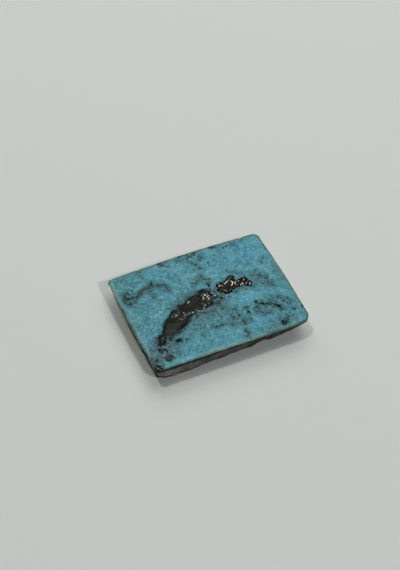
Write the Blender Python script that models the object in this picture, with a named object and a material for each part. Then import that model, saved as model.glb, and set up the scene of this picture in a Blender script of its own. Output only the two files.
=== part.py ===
"""A thin slab of turquoise: one lapped face, trimmed walls and a rough natural back.

The slab rests on the lowest lumps of its back, which are worn flat. The origin is on that
resting plane, under the middle of the slab; +X runs along the long side and +Z points out of
the lapped face. The dimensions below are in millimetres, and MM turns them into metres.
"""

import math

import bmesh
import bpy
from mathutils import Vector, noise

MM = 0.001

LENGTH = 20.30  # long side of the lapped face, between its walls
WIDTH = 15.48
THICKNESS = 2.10  # lapped face above the resting plane
CENTRE = (0.111, -0.047)  # middle of the finished outline, which is moved to the origin

# Plan of the slab: how far each corner is off the rectangle, its radius, and how far
# each side bows outwards between its corners.
CORNERS = {
    (-1, -1): {"shift": (0.52, -0.14), "radius": 0.45},
    (1, -1): {"shift": (0.13, -0.03), "radius": 1.30},
    (1, 1): {"shift": (-0.09, -0.10), "radius": 0.85},
    (-1, 1): {"shift": (0.04, -0.30), "radius": 0.40},
}
BOW = {"front": 0.07, "right": 0.15, "back": 0.27, "left": 0.15}
CHIPS = (  # nicks in the back edge
    {"x": 7.75, "reach": 0.45, "depth": 0.16},
    {"x": -5.95, "reach": 0.35, "depth": 0.08},
)
CHIP_FADE = 0.8  # share of the half width at which a nick dies out inwards

# How far each wall reaches down from the lapped face: (place along the side, drop).
WALL_DROP = {
    "front": ((-9.6, 1.34), (-8.6, 1.78), (-7.5, 1.94), (-6.6, 1.92), (-5.6, 1.80), (-4.6, 1.72),
              (-3.9, 1.64), (-2.7, 1.43), (-1.8, 1.59), (-0.2, 1.38), (1.2, 1.29), (2.2, 1.33),
              (3.1, 0.99), (3.8, 0.76), (4.6, 1.08), (6.4, 0.98), (7.3, 0.84), (8.3, 0.54),
              (9.2, 0.28)),
    "right": ((-7.0, 0.28), (-5.6, 0.50), (-3.5, 0.95), (-1.5, 0.85), (0.5, 1.25), (3.0, 1.00),
              (5.2, 0.60), (7.2, 0.32)),
    "back": ((-9.6, 0.30), (-8.2, 0.55), (-6.0, 0.95), (-3.5, 1.30), (-1.0, 1.05), (1.5, 1.35),
             (4.2, 0.95), (6.5, 0.70), (8.4, 0.42), (9.6, 0.32)),
    "left": ((-7.4, 1.28), (-5.5, 1.30), (-3.0, 1.16), (0.0, 1.06), (2.0, 1.02), (3.9, 0.90),
             (4.7, 0.52), (6.0, 0.34), (7.2, 0.30)),
}
ARRIS = {"in": 0.14, "down": 0.11}  # the worn edge round the lapped face
WALL = {"rows": 3, "undercut": 0.16, "roughness": 0.11, "grain": 0.85, "seed": (5.3, 0.6, 7.1),
        "stands_out": 0.05}
LEFT_TUCK = {"lean": 0.20, "reach": 1.5}  # the left wall leans in this much more, fading inwards

# The back: fracture faces that meet in ridges, with lumps, knobs, ledges and pits on them.
BELLY_DEPTH = 2.08
SWELL = 1.45  # how soon the back reaches its fracture faces, inwards from the wall's foot
FRACTURES = (
    {"toward": 200, "starts": 3.6, "slope": 0.13},
    {"toward": 255, "starts": 3.6, "slope": 0.20},
    {"toward": 312, "starts": 4.2, "slope": 0.30},
    {"toward": 350, "starts": 4.8, "slope": 0.21},
    {"toward": 36, "starts": 4.8, "slope": 0.29},
    {"toward": 86, "starts": 3.4, "slope": 0.24},
    {"toward": 140, "starts": 4.2, "slope": 0.32},
)
LUMP = {"size": 2.6, "height": 0.86, "seed": (4.2, 1.7, 9.3)}
KNOB = {"size": 1.25, "height": 0.24, "seed": (7.9, 3.1, 2.6)}
LEDGE = {"step": 0.34, "riser": 0.30, "strength": 0.75, "tilt": (0.060, -0.045)}
PIT = {"spacing": 2.3, "reach": 0.50, "depth": 0.26, "seed": (2.5, 8.8, 0.4)}
RIM = {"lumps": 1.2, "ledges": 0.8, "foot": 0.8}  # how far in each kind of roughness starts
NEAR_SIDE = {"blur": 0.04, "power": 3}  # how sharply a place takes its foot from its nearest side
THINNEST = 0.28  # the feathered corners keep at least this thickness

CELLS_X = 56
CELLS_Y = 42
AT_EDGE = 0.9999  # grid places beyond this are on the outline

STONE = {"color": (0.087, 0.270, 0.328, 1.0), "roughness": 0.62}


def clear_scene():
    for old in list(bpy.data.objects):
        bpy.data.objects.remove(old)


def ease(t):
    """0 to 1 with level ends."""
    t = min(max(t, 0.0), 1.0)
    return t * t * (3.0 - 2.0 * t)


def read_along(table, place):
    """The value of a (place, value) table, eased between its entries."""
    if place <= table[0][0]:
        return table[0][1]
    for (start, low), (end, high) in zip(table, table[1:]):
        if place <= end:
            return low + (high - low) * ease((place - start) / (end - start))
    return table[-1][1]


def seeded_noise(x, y, z, size, seed):
    return noise.noise(Vector((x, y, z)) / size + Vector(seed))


def round_corner(x, y, half_x, half_y, inset):
    """Pull a point of the rectangle in where it lies beyond a corner's fillet."""
    corner = (1 if x > 0 else -1, 1 if y > 0 else -1)
    radius = max(CORNERS[corner]["radius"] - inset, 0.05)
    across = abs(x) - (half_x - radius)
    up = abs(y) - (half_y - radius)
    if across <= 0.0 or up <= 0.0:
        return x, y
    pull = max(across, up) / math.hypot(across, up)
    return (corner[0] * (half_x - radius + across * pull),
            corner[1] * (half_y - radius + up * pull))


def plan(u, v, inset=0.0):
    """Where grid place (u, v), each from -1 to 1, lies in the slab's plan, drawn in by inset."""
    half_x, half_y = LENGTH / 2.0 - inset, WIDTH / 2.0 - inset
    x, y = round_corner(u * half_x, v * half_y, half_x, half_y, inset)
    across, up = 2.0 * x / LENGTH, 2.0 * y / WIDTH
    for (side_x, side_y), corner in CORNERS.items():
        share = (1.0 + side_x * across) * (1.0 + side_y * up) / 4.0
        x += share * corner["shift"][0]
        y += share * corner["shift"][1]
    along_x, along_y = 1.0 - across * across, 1.0 - up * up
    x += along_y * (BOW["right"] * (1.0 + across) - BOW["left"] * (1.0 - across)) / 2.0
    y += along_x * (BOW["back"] * (1.0 + up) - BOW["front"] * (1.0 - up)) / 2.0
    for chip in CHIPS:
        near = ease(1.0 - abs(x - chip["x"]) / chip["reach"])
        y -= chip["depth"] * near * ease((up - CHIP_FADE) / (1.0 - CHIP_FADE))
    return x, y


def to_edges(u, v):
    """Distance from grid place (u, v) to each side, in millimetres."""
    return {"front": (1.0 + v) * WIDTH / 2.0, "back": (1.0 - v) * WIDTH / 2.0,
            "left": (1.0 + u) * LENGTH / 2.0, "right": (1.0 - u) * LENGTH / 2.0}


def foot_drop(x, y, distances):
    """Depth of the walls' foot, carried inwards from the nearest sides."""
    total = weights = 0.0
    for side, distance in distances.items():
        weight = 1.0 / (distance + NEAR_SIDE["blur"]) ** NEAR_SIDE["power"]
        place = x if side in ("front", "back") else y
        total += weight * read_along(WALL_DROP[side], place)
        weights += weight
    return total / weights


def fracture_depth(x, y):
    """Depth of the fracture faces: each one climbs away from the belly in its own direction."""
    depth = BELLY_DEPTH
    for face in FRACTURES:
        angle = math.radians(face["toward"])
        reach = x * math.cos(angle) + y * math.sin(angle) - face["starts"]
        depth = min(depth, BELLY_DEPTH - face["slope"] * max(reach, 0.0))
    return depth


def ledge(depth, x, y):
    """Break a slope into treads and risers."""
    tilt = LEDGE["tilt"][0] * x + LEDGE["tilt"][1] * y
    level = (depth + tilt) / LEDGE["step"]
    tread = math.floor(level)
    stepped = LEDGE["step"] * (tread + ease((level - tread) / LEDGE["riser"])) - tilt
    return depth + LEDGE["strength"] * (stepped - depth)


def pit(x, y):
    """How much a pit takes away at (x, y)."""
    spot = Vector((x, y, 0.0)) / PIT["spacing"] + Vector(PIT["seed"])
    nearest = noise.voronoi(spot)[0][0]
    return PIT["depth"] * ease(1.0 - nearest / PIT["reach"])


def back_depth(u, v):
    """Depth of the natural back below the lapped face."""
    x, y = plan(u, v)
    distances = to_edges(u, v)
    inside = min(distances.values())
    foot = foot_drop(x, y, distances)
    swollen = 1.0 - math.exp(-inside / SWELL)
    depth = foot + (fracture_depth(x, y) - foot) * swollen
    rough = LUMP["height"] * seeded_noise(x, y, 0.0, LUMP["size"], LUMP["seed"])
    rough += KNOB["height"] * seeded_noise(x, y, 0.0, KNOB["size"], KNOB["seed"])
    depth += rough * ease(inside / RIM["lumps"])
    depth += (ledge(depth, x, y) - depth - pit(x, y)) * ease(inside / RIM["ledges"])
    return min(max(depth, THINNEST), THICKNESS)


def wall_inset(u, v, depth, down):
    """How far the wall is drawn in from the outline: it leans in and is rough, more so lower down."""
    x, y = plan(u, v)
    rough = seeded_noise(x, y, depth, WALL["grain"], WALL["seed"]) * WALL["roughness"]
    lean = WALL["undercut"] * depth / THICKNESS
    return max((lean + rough) * down, -WALL["stands_out"])


def tuck(u, depth):
    """How far the overhanging left wall moves a place to the right."""
    near = ease(1.0 - to_edges(u, 0.0)["left"] / LEFT_TUCK["reach"])
    return LEFT_TUCK["lean"] * (depth - ARRIS["down"]) * near


def lapped_point(u, v):
    x, y = plan(u, v, ARRIS["in"])
    return x, y, THICKNESS


def wall_point(u, v, down):
    """A point of the wall: down is 0 where the worn arris ends and 1 at the wall's foot."""
    depth = ARRIS["down"] + (back_depth(u, v) - ARRIS["down"]) * down
    x, y = plan(u, v, wall_inset(u, v, depth, down))
    return x + tuck(u, depth), y, THICKNESS - depth


def back_point(u, v):
    """A point of the back, which starts from the foot of the walls."""
    depth = back_depth(u, v)
    near_foot = 1.0 - ease(min(to_edges(u, v).values()) / RIM["foot"])
    x, y = plan(u, v, wall_inset(u, v, depth, 1.0) * near_foot)
    return x + tuck(u, depth), y, THICKNESS - depth


def place(u, v, level):
    """The position in metres of a vertex by its grid place and level: 0 lapped face, 1 back."""
    first_row = 1.0 / (WALL["rows"] + 1)
    if level < first_row / 2.0:
        x, y, z = lapped_point(u, v)
    elif max(abs(u), abs(v)) > AT_EDGE:
        x, y, z = wall_point(u, v, (level - first_row) / (1.0 - first_row))
    else:
        x, y, z = back_point(u, v)
    return Vector((x - CENTRE[0], y - CENTRE[1], z)) * MM


def slab_mesh():
    """A grid for the lapped face, extruded for the walls and the back, then put in place."""
    bm = bmesh.new()
    grid_u = bm.verts.layers.float.new("u")
    grid_v = bm.verts.layers.float.new("v")
    level = bm.verts.layers.float.new("level")
    bmesh.ops.create_grid(bm, x_segments=CELLS_X, y_segments=CELLS_Y, size=1.0)
    for vert in bm.verts:
        vert[grid_u], vert[grid_v] = vert.co.x, vert.co.y
    face_side = list(bm.faces)
    extruded = bmesh.ops.extrude_face_region(bm, geom=face_side)
    for item in extruded["geom"]:
        if isinstance(item, bmesh.types.BMVert):
            item[level] = 1.0
            item.co.z = -1.0
    uprights = [edge for edge in bm.edges if abs(edge.verts[0][level] - edge.verts[1][level]) > 0.5]
    bmesh.ops.subdivide_edges(bm, edges=uprights, cuts=WALL["rows"])
    lapped = [face for face in bm.faces if all(vert[level] < 0.01 for vert in face.verts)]
    bmesh.ops.dissolve_faces(bm, faces=lapped)
    for vert in bm.verts:
        vert.co = place(vert[grid_u], vert[grid_v], vert[level])
    bmesh.ops.recalc_face_normals(bm, faces=bm.faces)
    mesh = bpy.data.meshes.new("turquoise_slab")
    bm.to_mesh(mesh)
    bm.free()
    return mesh


def stone_material():
    material = bpy.data.materials.new("turquoise_stone")
    material.use_nodes = True
    shader = material.node_tree.nodes["Principled BSDF"]
    shader.inputs["Base Color"].default_value = STONE["color"]
    shader.inputs["Roughness"].default_value = STONE["roughness"]
    return material


def main():
    clear_scene()
    collection = bpy.data.collections.new("turquoise_slab")
    bpy.context.scene.collection.children.link(collection)
    slab = bpy.data.objects.new("turquoise_slab", slab_mesh())
    slab.data.materials.append(stone_material())
    collection.objects.link(slab)


main()
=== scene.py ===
import math

import bmesh
import bpy
import numpy as np
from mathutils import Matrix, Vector, noise


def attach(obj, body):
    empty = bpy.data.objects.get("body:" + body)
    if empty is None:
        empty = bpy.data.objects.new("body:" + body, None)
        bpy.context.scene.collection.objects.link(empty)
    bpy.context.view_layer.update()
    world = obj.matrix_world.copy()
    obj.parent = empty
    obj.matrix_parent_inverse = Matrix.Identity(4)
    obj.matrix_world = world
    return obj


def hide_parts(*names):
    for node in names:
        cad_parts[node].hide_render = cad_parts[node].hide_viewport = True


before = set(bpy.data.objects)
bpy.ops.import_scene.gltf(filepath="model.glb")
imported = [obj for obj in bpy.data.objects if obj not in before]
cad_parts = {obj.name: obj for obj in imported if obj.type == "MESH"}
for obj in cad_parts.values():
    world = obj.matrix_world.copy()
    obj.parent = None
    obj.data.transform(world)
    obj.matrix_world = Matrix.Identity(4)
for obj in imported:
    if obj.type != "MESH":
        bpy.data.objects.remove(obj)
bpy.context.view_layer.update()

mm = 0.001
middle = (0.111, -0.047)  # mm, the middle of the slab's outline in the plan that all below is drawn in

view = {
    "place": (-36.947, -85.018, 113.197),  # mm
    "turn": (40.5, 0.0, -22.887),  # degrees
    "lens": 75.79,
    "sensor": 36.0,
    "sees": (0.005, 10.0),  # metres, nearest and furthest
}


def addCamera():
    data = bpy.data.cameras.new("camera")
    data.lens = view["lens"]
    data.sensor_width = view["sensor"]
    data.clip_start, data.clip_end = view["sees"]
    camera = bpy.data.objects.new("camera", data)
    camera.location = Vector(view["place"]) * mm
    camera.rotation_euler = [math.radians(angle) for angle in view["turn"]]
    bpy.context.scene.collection.objects.link(camera)
    bpy.context.scene.camera = camera


coolLight = (1.0, 0.98, 1.01)
warmLight = (1.007, 1.0, 0.975)
lamps = {
    # direction the light comes from, width and height of its panel in mm, watts
    "lampFront": {"from": (0.85, -1.90, 2.10), "size": (65, 90), "watts": 2.14, "color": coolLight},
    "lampBehind": {"from": (-0.35, 0.90, 2.10), "size": (50, 50), "watts": 1.46, "color": warmLight},
    "window": {"from": (0.38, 1.15, 0.73), "size": (825, 400), "watts": 3.36, "color": warmLight},
    "windowSide": {"from": (0.80, 0.60, 1.30), "size": (600, 400), "watts": 2.12, "color": coolLight},
}
matteLamps = ("window", "windowSide")  # these light the stone without a wide sheen
lampDistance = 825.0  # mm
surround = {"color": (0.93, 0.97, 1.0, 1.0), "strength": 0.010}


def addLamp(name, lamp):
    data = bpy.data.lights.new(name, "AREA")
    data.shape = "RECTANGLE"
    data.size, data.size_y = lamp["size"][0] * mm, lamp["size"][1] * mm
    data.energy = lamp["watts"]
    data.color = lamp["color"]
    light = bpy.data.objects.new(name, data)
    toward = Vector(lamp["from"]).normalized()
    light.location = toward * lampDistance * mm
    light.rotation_euler = toward.to_track_quat("Z", "Y").to_euler()
    light.visible_glossy = name not in matteLamps
    bpy.context.scene.collection.objects.link(light)


def addLights():
    for name, lamp in lamps.items():
        addLamp(name, lamp)
    world = bpy.data.worlds.new("surround")
    world.use_nodes = True
    sky = world.node_tree.nodes["Background"]
    sky.inputs["Color"].default_value = surround["color"]
    sky.inputs["Strength"].default_value = surround["strength"]
    bpy.context.scene.world = world
    bpy.context.scene.view_settings.view_transform = "Standard"


floorLook = {"reach": 4.0, "color": (0.634, 0.670, 0.640, 1.0), "roughness": 0.7}  # reach in metres


def addFloor():
    bm = bmesh.new()
    bmesh.ops.create_grid(bm, x_segments=1, y_segments=1, size=floorLook["reach"])
    mesh = bpy.data.meshes.new("floor")
    bm.to_mesh(mesh)
    bm.free()
    floor = bpy.data.objects.new("floor", mesh)
    bpy.context.scene.collection.objects.link(floor)
    material = bpy.data.materials.new("palePaint")
    material.use_nodes = True
    shader = material.node_tree.nodes["Principled BSDF"]
    shader.inputs["Base Color"].default_value = floorLook["color"]
    shader.inputs["Roughness"].default_value = floorLook["roughness"]
    mesh.materials.append(material)


addCamera()
addLights()
addFloor()
print("camera, lights and floor are in place")

slab = {
    # lengths in mm; each corner is shifted from a true rectangle's, and each side bows outwards
    "length": 20.30,
    "width": 15.48,
    "thickness": 2.10,
    "corners": {
        (-1, -1): {"shift": (0.52, -0.14), "radius": 0.45},
        (1, -1): {"shift": (0.13, -0.03), "radius": 1.30},
        (1, 1): {"shift": (-0.09, -0.10), "radius": 0.85},
        (-1, 1): {"shift": (0.04, -0.30), "radius": 0.40},
    },
    "sharpest": 0.05,  # the least radius that a corner keeps when the outline is drawn in
    "bow": {"front": 0.07, "right": 0.15, "back": 0.27, "left": 0.15},
    # nicks in the back edge, and how far out on the half width they start
    "chips": (
        {"x": 7.75, "reach": 0.45, "depth": 0.16},
        {"x": -5.95, "reach": 0.35, "depth": 0.08},
    ),
    "chipFade": 0.8,
    "cells": (212, 162),  # about 0.1 mm each
}
borderPlace = 0.9999  # grid places further out than this, of 1, are on the outline

walls = {
    # lengths in mm
    # how far each wall reaches down from the lapped face: (place along the side, drop)
    "front": ((-9.6, 1.34), (-8.6, 1.78), (-7.5, 1.94), (-6.6, 1.92), (-5.6, 1.80), (-4.6, 1.72),
              (-3.9, 1.64), (-2.7, 1.43), (-1.8, 1.59), (-0.2, 1.38), (1.2, 1.29), (2.2, 1.33),
              (3.1, 0.99), (3.8, 0.76), (4.6, 1.08), (6.4, 0.98), (7.3, 0.84), (8.3, 0.54),
              (9.2, 0.28)),
    "right": ((-7.0, 0.28), (-5.6, 0.50), (-3.5, 0.95), (-1.5, 0.85), (0.5, 1.25), (3.0, 1.00),
              (5.2, 0.60), (7.2, 0.32)),
    "back": ((-9.6, 0.30), (-8.2, 0.55), (-6.0, 0.95), (-3.5, 1.30), (-1.0, 1.05), (1.5, 1.35),
             (4.2, 0.95), (6.5, 0.70), (8.4, 0.42), (9.6, 0.32)),
    "left": ((-7.4, 1.28), (-5.5, 1.30), (-3.0, 1.16), (0.0, 1.06), (2.0, 1.02), (3.9, 0.90),
             (4.7, 0.52), (6.0, 0.34), (7.2, 0.30)),
    # worn edge round the lapped face, and how far it wanders
    "arris": {"in": 0.14, "down": 0.11, "rows": 3, "wander": 0.05, "spacing": 1.1, "seed": (2.8, 6.6, 1.5)},
    "rows": 9,
    "undercut": 0.16,  # how far in the foot of a wall of full depth lies
    "leftTuck": {"lean": 0.20, "reach": 1.5},  # the left wall overhangs its foot
    "roughness": 0.11,
    "grain": 0.85,
    "seed": (5.3, 0.6, 7.1),
    "roughFrom": 0.25,  # share of the way down at which the roughness has set in
    "topShare": 0.35,  # its strength near the arris, against that at the foot
    "standsOut": 0.05,  # the furthest that a wall comes out past the outline
    # finer roughness: size, height, seed
    "fine": ((0.42, 0.045, (1.9, 6.2, 3.3)), (0.17, 0.022, (8.1, 2.2, 5.7))),
    # how light the front wall is: (place along it from the slab's middle, tone), and the other walls
    "frontTone": ((-9.5, 0.95), (-8.0, 1.15), (-7.0, 1.10), (-6.0, 0.76), (-5.0, 0.88), (-4.0, 0.70),
                  (-3.0, 0.50), (-2.0, 0.68), (-1.0, 0.54), (0.0, 0.52), (1.0, 0.58), (2.0, 0.32),
                  (4.0, 0.22), (5.0, 0.30), (7.0, 0.33), (8.5, 0.45)),
    # painted light: the left wall, which faces away from the lamps, is made several times lighter than the
    # others
    "leftPaintedLight": 3.15,
    "otherTone": 0.75,
    # the thickness above which the walls are grey rock, and that below which they are turquoise
    "thinEdge": (1.05, 0.35),
    # painted shade at the wall's foot: the next number is how far in under the back it reaches
    "footShadeReach": 0.35,  # how far in under the back the dark foot goes
}

back = {
    # lengths in mm
    "belly": 2.08,  # depth of the middle
    "swell": 1.45,  # how far in from a wall's foot the belly takes over
    # faces that slope up towards the rim: direction in degrees, distance at which it starts, slope
    "fractures": (
        {"toward": 200, "starts": 3.6, "slope": 0.13},
        {"toward": 255, "starts": 3.6, "slope": 0.20},
        {"toward": 312, "starts": 4.2, "slope": 0.30},
        {"toward": 350, "starts": 4.8, "slope": 0.21},
        {"toward": 36, "starts": 4.8, "slope": 0.29},
        {"toward": 86, "starts": 3.4, "slope": 0.24},
        {"toward": 140, "starts": 4.2, "slope": 0.32},
    ),
    "lump": {"size": 2.6, "height": 0.86, "seed": (4.2, 1.7, 9.3)},
    "knob": {"size": 1.25, "height": 0.24, "seed": (7.9, 3.1, 2.6)},
    "ledge": {"step": 0.34, "riser": 0.30, "strength": 0.75, "tilt": (0.060, -0.045)},
    "pit": {"spacing": 2.3, "reach": 0.50, "depth": 0.26, "seed": (2.5, 8.8, 0.4)},
    # how far in from the outline the lumps, ledges and fine roughness set in, and the wall's inset ends
    "rim": {"lumps": 1.2, "ledges": 0.8, "foot": 0.8, "fine": 0.3},
    "nearSide": {"blur": 0.04, "power": 3},  # how sharply one side's wall gives way to the next at a corner
    "thinnest": 0.28,
    # finer roughness: size, height, seed
    "fine": ((0.62, 0.085, (3.4, 7.7, 1.2)), (0.27, 0.042, (6.6, 0.9, 4.8)),
             (0.14, 0.018, (2.1, 5.5, 8.3))),
}


def ease(t):
    t = min(max(t, 0.0), 1.0)
    return t * t * (3.0 - 2.0 * t)


def readAlong(table, place):
    # the value at a place along a table, eased between its entries
    if place <= table[0][0]:
        return table[0][1]
    for (start, low), (end, high) in zip(table, table[1:]):
        if place <= end:
            return low + (high - low) * ease((place - start) / (end - start))
    return table[-1][1]


def lumps(x, y, z, size, seed):
    # smooth noise about zero, with lumps of the given size
    return noise.noise(Vector((x, y, z)) / size + Vector(seed))


def roundCorner(x, y, halfX, halfY, inset):
    # pulls a place near a corner in so that the corner is round
    corner = (1 if x > 0 else -1, 1 if y > 0 else -1)
    radius = max(slab["corners"][corner]["radius"] - inset, slab["sharpest"])
    across = abs(x) - (halfX - radius)
    up = abs(y) - (halfY - radius)
    if across <= 0.0 or up <= 0.0:
        return x, y
    pull = max(across, up) / math.hypot(across, up)
    return corner[0] * (halfX - radius + across * pull), corner[1] * (halfY - radius + up * pull)


def planPoint(u, v, inset=0.0):
    # u and v run from -1 to 1 across the slab; inset draws the outline in
    halfX, halfY = slab["length"] / 2.0 - inset, slab["width"] / 2.0 - inset
    x, y = roundCorner(u * halfX, v * halfY, halfX, halfY, inset)
    across, up = 2.0 * x / slab["length"], 2.0 * y / slab["width"]
    for (sideX, sideY), corner in slab["corners"].items():
        share = (1.0 + sideX * across) * (1.0 + sideY * up) / 4.0
        x += share * corner["shift"][0]
        y += share * corner["shift"][1]
    alongX, alongY = 1.0 - across * across, 1.0 - up * up
    bow = slab["bow"]
    x += alongY * (bow["right"] * (1.0 + across) - bow["left"] * (1.0 - across)) / 2.0
    y += alongX * (bow["back"] * (1.0 + up) - bow["front"] * (1.0 - up)) / 2.0
    for chip in slab["chips"]:
        near = ease(1.0 - abs(x - chip["x"]) / chip["reach"])
        y -= chip["depth"] * near * ease((up - slab["chipFade"]) / (1.0 - slab["chipFade"]))
    return x, y


def toEdges(u, v):
    # distance to each side
    return {"front": (1.0 + v) * slab["width"] / 2.0, "back": (1.0 - v) * slab["width"] / 2.0,
            "left": (1.0 + u) * slab["length"] / 2.0, "right": (1.0 - u) * slab["length"] / 2.0}


def footDrop(x, y, distances):
    # depth of the wall's foot, taken mostly from the nearest side
    total = weights = 0.0
    for side, distance in distances.items():
        weight = 1.0 / (distance + back["nearSide"]["blur"]) ** back["nearSide"]["power"]
        place = x if side in ("front", "back") else y
        total += weight * readAlong(walls[side], place)
        weights += weight
    return total / weights


def fractureDepth(x, y):
    # the belly, cut by the fracture faces
    depth = back["belly"]
    for face in back["fractures"]:
        angle = math.radians(face["toward"])
        reach = x * math.cos(angle) + y * math.sin(angle) - face["starts"]
        depth = min(depth, back["belly"] - face["slope"] * max(reach, 0.0))
    return depth


def ledge(depth, x, y):
    # breaks a smooth depth into tilted steps
    shape = back["ledge"]
    tilt = shape["tilt"][0] * x + shape["tilt"][1] * y
    level = (depth + tilt) / shape["step"]
    tread = math.floor(level)
    stepped = shape["step"] * (tread + ease((level - tread) / shape["riser"])) - tilt
    return depth + shape["strength"] * (stepped - depth)


def pit(x, y):
    # depth of a scattered pit at this place
    shape = back["pit"]
    nearest = noise.voronoi(Vector((x, y, 0.0)) / shape["spacing"] + Vector(shape["seed"]))[0][0]
    return shape["depth"] * ease(1.0 - nearest / shape["reach"])


def backDepth(u, v):
    # how far the back lies below the lapped face
    x, y = planPoint(u, v)
    distances = toEdges(u, v)
    inside = min(distances.values())
    foot = footDrop(x, y, distances)
    depth = foot + (fractureDepth(x, y) - foot) * (1.0 - math.exp(-inside / back["swell"]))
    rough = sum(shape["height"] * lumps(x, y, 0.0, shape["size"], shape["seed"])
                for shape in (back["lump"], back["knob"]))
    depth += rough * ease(inside / back["rim"]["lumps"])
    depth += (ledge(depth, x, y) - depth - pit(x, y)) * ease(inside / back["rim"]["ledges"])
    fine = sum(height * lumps(x, y, depth, size, seed) for size, height, seed in back["fine"])
    depth += fine * ease(inside / back["rim"]["fine"])
    return min(max(depth, back["thinnest"]), slab["thickness"])


def wallInset(u, v, depth, down):
    # how far the wall lies in from the outline; down is 0 at its top and 1 at its foot
    x, y = planPoint(u, v)
    rough = lumps(x, y, depth, walls["grain"], walls["seed"]) * walls["roughness"]
    rough += sum(height * lumps(x, y, depth, size, seed) for size, height, seed in walls["fine"])
    lean = walls["undercut"] * depth / slab["thickness"]
    share = ease(down / walls["roughFrom"]) * (walls["topShare"] + (1.0 - walls["topShare"]) * down)
    return max((lean + rough) * share, -walls["standsOut"])


def tuck(u, depth):
    # how far the overhanging left wall moves a place to the right
    shape = walls["leftTuck"]
    near = ease(1.0 - (1.0 + u) * slab["length"] / 2.0 / shape["reach"])
    return shape["lean"] * (depth - walls["arris"]["down"]) * near


def wallPoint(u, v, down):
    depth = walls["arris"]["down"] + (backDepth(u, v) - walls["arris"]["down"]) * down
    x, y = planPoint(u, v, wallInset(u, v, depth, down) + wander(u, v) * (1.0 - down))
    return x + tuck(u, depth), y, slab["thickness"] - depth


def wander(u, v):
    # never outwards, so that the outline stays as it is
    x, y = planPoint(u, v)
    arris = walls["arris"]
    return arris["wander"] * (0.5 + lumps(x, y, 0.0, arris["spacing"], arris["seed"]))


def arrisPoint(u, v, turn):
    # turn is 0 at the lapped face and 1 at the wall
    angle = turn * math.pi / 2.0
    x, y = planPoint(u, v, walls["arris"]["in"] * (1.0 - math.sin(angle)) + wander(u, v))
    return x, y, slab["thickness"] - walls["arris"]["down"] * (1.0 - math.cos(angle))


def backPoint(u, v):
    depth = backDepth(u, v)
    nearFoot = 1.0 - ease(min(toEdges(u, v).values()) / back["rim"]["foot"])
    x, y = planPoint(u, v, wallInset(u, v, depth, 1.0) * nearFoot)
    return x + tuck(u, depth), y, slab["thickness"] - depth


def slabPoint(u, v, level):
    # level is 0 on the lapped face, 1 on the back
    row = level * (walls["rows"] + walls["arris"]["rows"] + 1)
    if row < 0.5:
        return planPoint(u, v, walls["arris"]["in"] + wander(u, v)) + (slab["thickness"],)
    if max(abs(u), abs(v)) < borderPlace:
        return backPoint(u, v)
    if row < walls["arris"]["rows"] + 0.5:
        return arrisPoint(u, v, row / walls["arris"]["rows"])
    return wallPoint(u, v, (row - walls["arris"]["rows"]) / (walls["rows"] + 1))


def fixOrder(bm, placeU, placeV, level):
    # extruding leaves its order to chance, so all points are snapped to the grid and sorted by place in it
    layers = (level, placeU, placeV)
    counts = (walls["rows"] + walls["arris"]["rows"] + 1, slab["cells"][0] / 2, slab["cells"][1] / 2)
    places = {vert: [round(vert[item] * count) for item, count in zip(layers, counts)] for vert in bm.verts}
    for order, vert in enumerate(sorted(bm.verts, key=places.get)):
        vert.index = order
        for item, place, count in zip(layers, places[vert], counts):
            vert[item] = place / count
    bm.verts.sort()
    for elements in (bm.edges, bm.faces):
        inPlaceOrder = sorted(elements, key=lambda element: sorted(vert.index for vert in element.verts))
        for order, element in enumerate(inPlaceOrder):
            element.index = order
        elements.sort()


def slabMesh():
    # a grid is extruded to a closed block whose walls are cut into rows, then every point takes its place
    bm = bmesh.new()
    placeU = bm.verts.layers.float.new("placeU")
    placeV = bm.verts.layers.float.new("placeV")
    level = bm.verts.layers.float.new("level")
    bmesh.ops.create_grid(bm, x_segments=slab["cells"][0], y_segments=slab["cells"][1], size=1.0)
    for vert in bm.verts:
        vert[placeU], vert[placeV] = vert.co.x, vert.co.y
    extruded = bmesh.ops.extrude_face_region(bm, geom=list(bm.faces))
    for item in extruded["geom"]:
        if isinstance(item, bmesh.types.BMVert):
            item[level] = 1.0
            item.co.z = -1.0
    uprights = [edge for edge in bm.edges if abs(edge.verts[0][level] - edge.verts[1][level]) > 0.5]
    bmesh.ops.subdivide_edges(bm, edges=uprights, cuts=walls["rows"] + walls["arris"]["rows"])
    fixOrder(bm, placeU, placeV, level)
    for vert in bm.verts:
        vert.co = slabPoint(vert[placeU], vert[placeV], vert[level])
    bmesh.ops.recalc_face_normals(bm, faces=bm.faces)
    for face in bm.faces:
        face.smooth = True
    mesh = bpy.data.meshes.new("stone")
    bm.to_mesh(mesh)
    bm.free()
    return mesh


# outlines of the vein and of the patch full of pyrite, in mm
darkVein = (
    (0.75, 0.85), (0.45, 1.15), (0.1, 1.4), (-0.2, 1.5), (-0.5, 1.4), (-0.75, 1.15), (-1.1, 1.0),
    (-1.5, 0.95), (-1.9, 0.95), (-2.2, 0.75), (-2.5, 0.5), (-2.9, 0.3), (-3.4, 0.1), (-3.9, -0.1),
    (-4.4, -0.15), (-4.7, -0.4), (-4.9, -0.7), (-5.2, -0.85), (-5.6, -0.95), (-5.9, -1.2),
    (-6.1, -1.5), (-6.3, -1.8), (-6.45, -2.1), (-6.65, -2.5), (-6.85, -2.8), (-7.05, -3.1),
    (-7.1, -3.3), (-6.8, -3.45), (-6.2, -3.45), (-5.9, -3.6), (-5.4, -3.55), (-5.0, -3.4),
    (-4.6, -3.25), (-4.2, -3.0), (-3.8, -2.75), (-3.5, -2.55), (-3.3, -2.4), (-3.1, -2.2),
    (-2.9, -1.9), (-2.7, -1.65), (-2.3, -1.45), (-1.8, -1.35), (-1.2, -1.3), (-0.8, -1.2),
    (-0.3, -1.15), (0.1, -1.15), (0.4, -0.95), (0.4, -0.4), (0.5, 0.0), (0.85, 0.3),
)

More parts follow.
